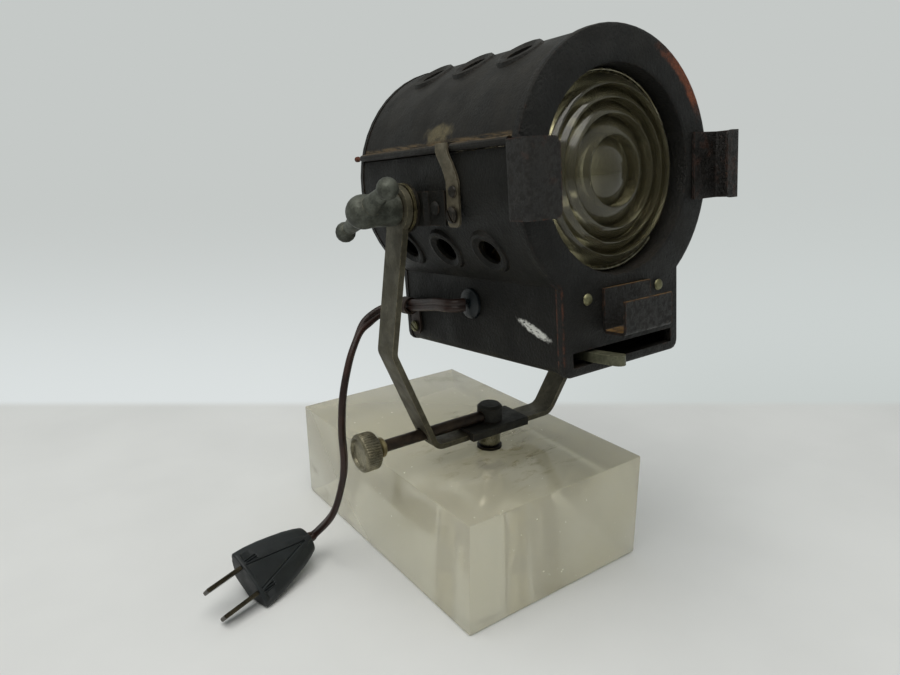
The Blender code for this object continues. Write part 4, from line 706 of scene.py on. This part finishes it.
def finishes():
    """One material for each of the record's slots, and a few variants."""
    made = {name: aged_metal(name, **facts) for name, facts in METALS.items()}
    made["knob"] = aged_metal("knob_steel", **KNOB_METAL)
    made["lever"] = aged_metal("lever_steel", **LEVER_METAL)
    made["rod"] = rod_finish()
    made["crinkle_black"] = housing_finish()
    made["hood_black"] = hood_finish()
    made["front_plate"] = front_plate_finish()
    for name, facts in CLIPS.items():
        made[name] = clip_finish(name, **facts)
    made["acrylic"] = acrylic_finish()
    made["lens_glass"] = lens_finish()
    made["bulb_glass"] = bulb_finish()
    made["porcelain"] = porcelain_finish()
    made["rubber"] = rubber_finish()
    made["plug_rubber"] = plug_finish()
    made["cord_jacket"] = cord_finish()
    return made


LOOKS = finishes()
NODE_LOOKS = {
    "front_plate": "front_plate",
    "filter_clip_left": "clip_left",
    "filter_clip_right": "clip_right",
    "filter_clip_bottom": "clip_bottom",
    "focus_lever": "lever",
    "lock_knob": "knob",
    "lock_rod": "rod",
    "latch_rivet": "dark_steel",
}


def paint_nodes():
    """Gives every CAD node the finish of its slot, and smooth shading on its round faces."""
    for name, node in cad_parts.items():
        slot = node.data.materials[0].name.split(".")[0]
        node.data.materials.clear()
        node.data.materials.append(LOOKS[NODE_LOOKS.get(name, slot)])
        normals = node.data.attributes.get("custom_normal")
        if normals:
            node.data.attributes.remove(normals)
        node.data.shade_smooth()
        weld = node.modifiers.new("weld", "WELD")
        weld.merge_threshold = 0.00001
        split = node.modifiers.new("creases", "EDGE_SPLIT")
        split.split_angle = SMOOTH_ANGLE


# ---------------------------------------------------------------------------------- camera


def make_camera():
    a, e, r = CAMERA_AZIMUTH, CAMERA_ELEVATION, CAMERA_ROLL
    back = Vector((math.sin(a) * math.cos(e), -math.cos(a) * math.cos(e), math.sin(e)))
    right = (-back).cross(Vector((0, 0, 1))).normalized()
    up = right.cross(-back)
    right_rolled = right * math.cos(r) + up * math.sin(r)
    up_rolled = up * math.cos(r) - right * math.sin(r)
    data = bpy.data.cameras.new("camera")
    data.lens = CAMERA_LENS
    data.clip_start = 0.01
    camera = bpy.data.objects.new("camera", data)
    turn = Matrix((right_rolled, up_rolled, back)).transposed().to_4x4()
    camera.matrix_world = Matrix.Translation(CAMERA_PLACE) @ turn
    bpy.context.scene.collection.objects.link(camera)
    bpy.context.scene.camera = camera


# ---------------------------------------------------------------------------------- cord and plug


def plug_matrix():
    turn_x, turn_y, turn_z = PLUG_TURN
    turn = Matrix.Rotation(turn_z, 4, "Z") @ Matrix.Rotation(turn_y, 4, "Y")
    return Matrix.Translation(PLUG_PLACE) @ turn @ Matrix.Rotation(turn_x, 4, "X")


def plug_section(x):
    """Half width, top and underside of the plug body at a distance from its face."""
    share = x / PLUG_LENGTH
    for (start, low), (end, high) in zip(PLUG_HALF_WIDTHS, PLUG_HALF_WIDTHS[1:]):
        if x <= end + 1e-9:
            half_width = low + (high - low) * (x - start) / (end - start)
            break
    return half_width, PLUG_TOP - 0.0009 * share**2, PLUG_UNDERSIDE + 0.0012 * share**2


def plug_top(x, y, flat, top):
    """Height of the plug's top: it falls off to the sides, and carries creases and grip ribs."""
    z = top - 0.0007 * (y / flat) ** 4
    crease_y = max(CREASE_LEAST, CREASE_SPREAD * (CREASE_TO - x) / CREASE_RUN)
    if CREASE_FROM < x < CREASE_TO:
        gap = abs(abs(y) - crease_y)
        z -= CREASE_DEPTH * max(0.0, 1.0 - gap / CREASE_WIDTH)
        if abs(y) < crease_y:
            z -= WEDGE_DROP
    if RIBS_FROM < x < RIBS_TO and abs(y) > crease_y + RIB_CLEAR:
        fade = min(1.0, (x - RIBS_FROM) / RIB_FADE, (RIBS_TO - x) / RIB_FADE)
        z -= RIB_DEPTH * fade * (0.5 - 0.5 * math.cos(2 * math.pi * y / RIB_PITCH))
    return z


def plug_outline(x, across):
    """The plug's section at a distance from its face, as (y, z) points."""
    half_width, top, underside = plug_section(x)
    foot = max(0.0026, half_width - 0.0080)
    belly = PLUG_BELLY * min(1.0, 1.6 * x / PLUG_LENGTH)
    flat = max(0.0015, half_width - 0.0048)
    shoulder = top - 0.0046
    heel = underside + 0.0008
    side = (shoulder + heel) / 2 - belly
    outline = []
    for index in range(across + 1):
        y = -flat + 2 * flat * index / across
        outline.append((y, plug_top(x, y, flat, top)))
    right = [
        (half_width - 0.0022, top - 0.0011),
        (half_width - 0.0010, top - 0.0019),
        (half_width - 0.0003, top - 0.0026),
        (half_width, top - 0.0033),
        (half_width - 0.0002, top - 0.0039),
        (half_width - 0.0009, shoulder),
        ((half_width * 3 + foot) / 4 + belly * 0.7, (shoulder + side) / 2 - belly * 0.2),
        ((half_width + foot) / 2 + belly, side),
        ((half_width + foot * 3) / 4 + belly * 0.8, (side + heel) / 2 - belly * 0.2),
        (foot + 0.0010, heel),
        (foot + 0.0004, underside + 0.0002),
        (foot - 0.0006, underside),
    ]
    left = [(-y, z) for y, z in reversed(right)]
    ends = min(x, PLUG_LENGTH - x)
    round_off = PLUG_END_RADIUS * max(0.0, 1.0 - ends / PLUG_END_RADIUS) ** 2
    middle = (top + underside) / 2
    shrink = 1.0 - round_off / max(half_width, 0.001)
    return [(y * shrink, middle + (z - middle) * shrink) for y, z in outline + right + left]


def build_plug():
    """The plug body, with two creases that meet near the cord and a row of grip ribs on each wing."""
    parts = bmesh.new()
    steps = 120
    rings = []
    for step in range(steps + 1):
        x = PLUG_LENGTH * step / steps
        rings.append([parts.verts.new((x, y, z)) for y, z in plug_outline(x, 160)])
    skin(parts, rings)
    finish = LOOKS["plug_rubber"]
    return mesh_object("plug_moulding", parts, "yoke", finish, ("plug_body",), plug_matrix())


def cord_route():
    _, top, underside = plug_section(PLUG_LENGTH)
    height = (top + underside) / 2
    tail = plug_matrix() @ Vector((PLUG_LENGTH + 0.0003, 0.0, height))
    approach = plug_matrix() @ Vector((PLUG_LENGTH + 0.006, 0.0, height))
    route = [HEAD @ Vector(point) for point in CORD_ON_HEAD]
    route += [Vector(point) for point in (*CORD_BEHIND_ARM, CORD_JUNCTION, *CORD_LOWER)]
    return smooth_route(route + [approach, tail], 0.0012)


def cord_section():
    """The outline of two round cores side by side, joined by a web."""
    outline = []
    steps = 14
    half_web = math.acos(min(1.0, CORD_PITCH / 2 / CORD_CORE)) * 0.96
    for side in (1, -1):
        start = -(math.pi - half_web)
        sweep = 2 * (math.pi - half_web)
        for step in range(steps + 1):
            angle = start + sweep * step / steps
            y = CORD_PITCH / 2 + CORD_CORE * math.cos(angle)
            outline.append((side * y, side * CORD_CORE * math.sin(angle)))
    return outline


def build_cord(plug):
    """The flat cord in one piece, from the grommet to the plug. It turns about its line as it falls."""
    route = cord_route()
    view = Vector((-math.sin(CAMERA_AZIMUTH), math.cos(CAMERA_AZIMUTH), 0.0))
    wide = ((0.0, Vector((0, 0, 1))), (0.30, Vector((0, 0.1, 1))), (0.42, view), (1.0, view))
    outline = cord_section()
    parts = bmesh.new()
    rings = []
    last = len(route) - 1
    for index, point in enumerate(route):
        along = (route[min(last, index + 1)] - route[max(0, index - 1)]).normalized()
        share = index / last
        for (start, here), (end, there) in zip(wide, wide[1:]):
            if share <= end:
                t = (share - start) / (end - start)
                t = t * t * (3 - 2 * t)
                break
        there = there if here.dot(there) >= 0 else -there
        across = here.lerp(there, t)
        across = (across - along * across.dot(along)).normalized()
        over = along.cross(across)
        rings.append([parts.verts.new(point + across * y + over * z) for y, z in outline])
    skin(parts, rings)
    finish = LOOKS["cord_jacket"]
    cord = mesh_object("mains_cord", parts, None, finish, ("cord_upper", "cord_lower"))
    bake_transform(cord)


# ---------------------------------------------------------------------------------- finer pieces


def lens_profile():
    """Half section of the stepped lens, with softened crests and valleys."""
    points = []
    for inner, outer in LENS_STEPS:
        middle = inner == 0.0
        steps = 22 if middle else 12
        for step in range(steps + 1):
            share = step / steps
            radius = inner + (outer - inner) * share
            fall = share**2 if middle else share * (0.75 + 0.25 * share)
            lift = 0.0 if middle else 0.10 * max(0.0, 1.0 - share / 0.16) ** 2
            if step == 0 and not middle:
                radius += 0.00025
            points.append((radius, LENS_CREST_Y + LENS_STEP_DEPTH * (fall + lift)))
        points[-1] = (points[-1][0] - 0.00010, points[-1][1] - 0.00010)
    points += [
        (LENS_STEPS[-1][1] + 0.0002, LENS_RIM_Y),
        (LENS_RADIUS - 0.0003, LENS_RIM_Y),
        (LENS_RADIUS, LENS_RIM_Y + 0.0003),
        (LENS_RADIUS, LENS_BACK_Y - 0.0003),
        (LENS_RADIUS - 0.0003, LENS_BACK_Y),
        (LENS_RADIUS * 0.5, LENS_BACK_Y),
        (0.0, LENS_BACK_Y),
    ]
    return points


def build_lens():
    parts = turned(lens_profile(), 144)
    place = HEAD @ axis_matrix("Y")
    mesh_object("stepped_lens", parts, "head", LOOKS["lens_glass"], ("fresnel_lens",), place)


def build_lens_wire():
    """The sprung wire ring that holds the lens, open at its lower right."""
    start, end = math.radians(-48), math.radians(-14)
    sweep = 2 * math.pi - (end - start)
    steps, sides = 150, 12
    wire, radius = 0.0006, 0.0336
    parts = bmesh.new()
    rings = []
    for step in range(steps + 1):
        angle = end + sweep * step / steps
        outward = Vector((math.cos(angle), 0.0, math.sin(angle)))
        centre = outward * radius + Vector((0.0, LENS_RIM_Y - wire - 0.0002, 0.0))
        ring = []
        for side in range(sides):
            turn = 2 * math.pi * side / sides
            reach = outward * wire * math.cos(turn) + Vector((0, wire * math.sin(turn), 0))
            ring.append(parts.verts.new(centre + reach))
        rings.append(ring)
    skin(parts, rings)
    mesh_object("lens_wire", parts, "head", LOOKS["spring_steel"], ("lens_ring",), HEAD)


def build_bolt():
    """The clamp bolt, with a rolled thread on its shank and a hexagon socket in its head."""
    low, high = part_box("clamp_bolt")
    head_top = low.z + 0.004
    pitch, depth, radius = 0.001, 0.00034, 0.0030
    socket_reach, socket_floor = 0.0024, low.z + 0.0022
    length = high.z - head_top

    def ripple(angle, reach, height):
        change = 0.0
        if reach == socket_reach:
            corner = math.cos((angle % (math.pi / 3)) - math.pi / 6)
            change = reach * math.cos(math.pi / 6) / corner - reach
        if height > head_top:
            turns = (height - head_top) / pitch - angle / (2 * math.pi)
            change -= depth * abs(2 * (turns % 1.0) - 1.0)
        return change

    profile = [
        (0.0, socket_floor),
        (socket_reach, socket_floor),
        (socket_reach, low.z),
        (0.0047, low.z),
        (0.0052, low.z + 0.0005),
        (0.0052, head_top),
        (radius, head_top),
    ]
    rows = int(length / pitch * 6)
    profile += [(radius, head_top + length * row / rows) for row in range(1, rows + 1)]
    profile.append((0.0, high.z))
    parts = turned(profile, 32, ripple)
    place = Matrix.Translation((0.0, PAN_Y, 0.0))
    mesh_object("threaded_bolt", parts, "base", LOOKS["bolt_steel"], ("clamp_bolt",), place)


def build_lock_knob():
    """The knurled finger knob: a dished face, straight knurling and a short neck behind it."""
    low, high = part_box("lock_knob")
    radius = (high.z - low.z) / 2
    teeth = 44
    depth = 0.00042
    edge = radius - depth

    def ripple(angle, reach, height):
        if reach < edge - 1e-6:
            return 0.0
        return depth * abs(((angle * teeth / (2 * math.pi)) % 1.0) * 2 - 1.0) - depth * 0.5

    length = high.x - low.x
    wheel = 0.0075
    profile = [
        (0.0, 0.0013),
        (edge * 0.70, 0.0011),
        (edge * 0.76, 0.0004),
        (edge * 0.82, 0.0),
        (edge * 0.90, 0.0001),
        (edge * 0.98, 0.0006),
        (edge, 0.0011),
        (edge, wheel * 0.5),
        (edge, wheel - 0.0010),
        (edge * 0.98, wheel - 0.0005),
        (edge * 0.92, wheel),
        (0.0040, wheel),
        (0.0034, wheel + 0.0004),
        (0.0030, length - 0.0003),
        (0.0029, length),
        (0.0, length),
    ]
    parts = turned(profile, teeth * 4, ripple)
    centre = Matrix.Translation((low.x, (low.y + high.y) / 2, (low.z + high.z) / 2))
    place = centre @ axis_matrix("X")
    mesh_object("knurled_knob", parts, "lock_screw", LOOKS["knob"], ("lock_knob",), place)


def latch_bend(z):
    """How far out the middle of the strap stands at a height: straight, bent out, then back in."""
    if z < 0.0005:
        return -0.04695
    if z < 0.0050:
        return -0.04695 - 0.0001 * (z / 0.005)
    if z < 0.0096:
        return -0.04705 - 0.00115 * (z - 0.0050) / 0.0046
    return -0.0482 + 0.0008 * (z - 0.0096) / 0.0032


def build_latch_strap():
    """The sprung latch strap in one piece: foot, long shank and the hooked tip."""
    across = 8
    parts = bmesh.new()
    rings = []
    for z, half, y in LATCH_STATIONS:
        x = latch_bend(z)
        offsets = [-half + 2 * half * index / across for index in range(across + 1)]
        ring = [(x - LATCH_SHEET / 2, y + offset, z) for offset in offsets]
        ring += [(x + LATCH_SHEET / 2, y + offset, z) for offset in reversed(offsets)]
        rings.append([parts.verts.new(point) for point in ring])
    skin(parts, rings)
    finish = LOOKS["latch_steel"]
    nodes = ("latch_foot", "latch_hook")
    strap = mesh_object("latch_strap", parts, None, finish, nodes, HEAD)
    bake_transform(strap)


# ---------------------------------------------------------------------------------- floor and light


WALL_COLOUR = linear(197, 201, 199)


def floor_finish():
    """Pale matt paper. Beyond a soft line, set out from the main camera's place by fixed numbers, it glows
    in the tone of a wall, with painted light and shade. The line and the tone suit that camera only."""
    paint = Paint("pale_floor", roughness=0.7, Specular_IOR_Level=0.0)
    tone = paint.span(paint.noise(0.09, 3.0), 0.3, 0.7)
    colour = paint.mix(tone, linear(224, 225, 225), linear(229, 230, 230))
    marks = paint.span(paint.noise(0.010, 5.0, 0.7, (1, 0.5, 1)), 0.66, 0.82)
    colour = paint.mix(paint.times(marks, 0.12), colour, linear(186, 182, 174))
    view = Vector((-math.sin(CAMERA_AZIMUTH), math.cos(CAMERA_AZIMUTH), 0.0))
    away = paint.math("SUBTRACT", paint.along(view), CAMERA_PLACE.dot(view))
    across = Vector((view.y, -view.x, 0.0))
    aside = paint.math("SUBTRACT", paint.along(across), CAMERA_PLACE.dot(across))
    slant = paint.math("DIVIDE", aside, away)
    line = paint.math("SUBTRACT", away, paint.times(slant, WALL_SKEW))
    beyond = paint.span(line, WALL_DISTANCE - 0.004, WALL_DISTANCE + 0.010)
    # Painted light and shade on the glowing wall tone: lighter near the line, darker towards one side.
    near = paint.math("DIVIDE", WALL_DISTANCE, away)
    wall = paint.mix(paint.span(near, 0.25, 1.0), WALL_COLOUR, linear(219, 224, 224))
    shade = paint.times(paint.span(slant, -0.30, 0.45), near)
    wall = paint.mix(shade, wall, linear(199, 205, 203))
    paint.finish(paint.mix(beyond, colour, (0.0, 0.0, 0.0)))
    paint.feed(paint.shader.inputs["Emission Color"], wall)
    paint.feed(paint.shader.inputs["Emission Strength"], beyond)
    paint.bump(paint.noise(0.0012, 3.0), 0.00003, 0.3)
    return paint.material


def light_room(tree, background):
    """The room lights the object less from the near side than from the far side and overhead. What
    the camera sees of it directly has one even brightness."""
    direction = tree.nodes.new("ShaderNodeTexCoord").outputs["Generated"]
    facing = tree.nodes.new("ShaderNodeVectorMath")
    facing.operation = "DOT_PRODUCT"
    facing.inputs[1].default_value = (0.40, 0.56, 0.72)
    tree.links.new(direction, facing.inputs[0])
    spread = tree.nodes.new("ShaderNodeMapRange")
    spread.interpolation_type = "SMOOTHSTEP"
    tree.links.new(facing.outputs["Value"], spread.inputs["Value"])
    spread.inputs["From Min"].default_value = -0.7
    spread.inputs["From Max"].default_value = 0.6
    spread.inputs["To Min"].default_value = 0.14
    spread.inputs["To Max"].default_value = 0.72
    seen = tree.nodes.new("ShaderNodeLightPath")
    brighter = tree.nodes.new("ShaderNodeMath")
    brighter.operation = "MAXIMUM"
    tree.links.new(spread.outputs["Result"], brighter.inputs[0])
    tree.links.new(seen.outputs["Is Camera Ray"], brighter.inputs[1])
    tree.links.new(brighter.outputs[0], background.inputs["Strength"])


def build_stage():
    """A wide floor under the block, a pale world round it and one soft light."""
    parts = bmesh.new()
    bmesh.ops.create_grid(parts, x_segments=8, y_segments=8, size=6.0)
    mesh = bpy.data.meshes.new("floor")
    parts.to_mesh(mesh)
    parts.free()
    mesh.materials.append(floor_finish())
    floor = bpy.data.objects.new("floor", mesh)
    floor.location = (0.0, 0.0, -0.0002)
    bpy.context.scene.collection.objects.link(floor)

    world = bpy.data.worlds.new("pale_room")
    world.use_nodes = True
    background = world.node_tree.nodes["Background"]
    background.inputs["Color"].default_value = (*WALL_COLOUR, 1.0)
    light_room(world.node_tree, background)
    bpy.context.scene.world = world

    place = Vector((-0.35, -0.25, 1.10))
    data = bpy.data.lights.new("overhead_softbox", "AREA")
    data.shape = "SQUARE"
    data.size = 1.0
    data.energy = 9.0
    data.color = (1.0, 0.985, 0.94)
    light = bpy.data.objects.new("overhead_softbox", data)
    light.location = place
    light.rotation_mode = "QUATERNION"
    light.rotation_quaternion = (Vector((0.0, 0.0, 0.05)) - place).to_track_quat("-Z", "Y")
    bpy.context.scene.collection.objects.link(light)
    bpy.context.scene.view_settings.view_transform = "Standard"


# ---------------------------------------------------------------------------------- build

make_camera()
paint_nodes()
build_cord(build_plug())
build_lens()
build_lens_wire()
build_bolt()
build_lock_knob()
build_latch_strap()
build_stage()
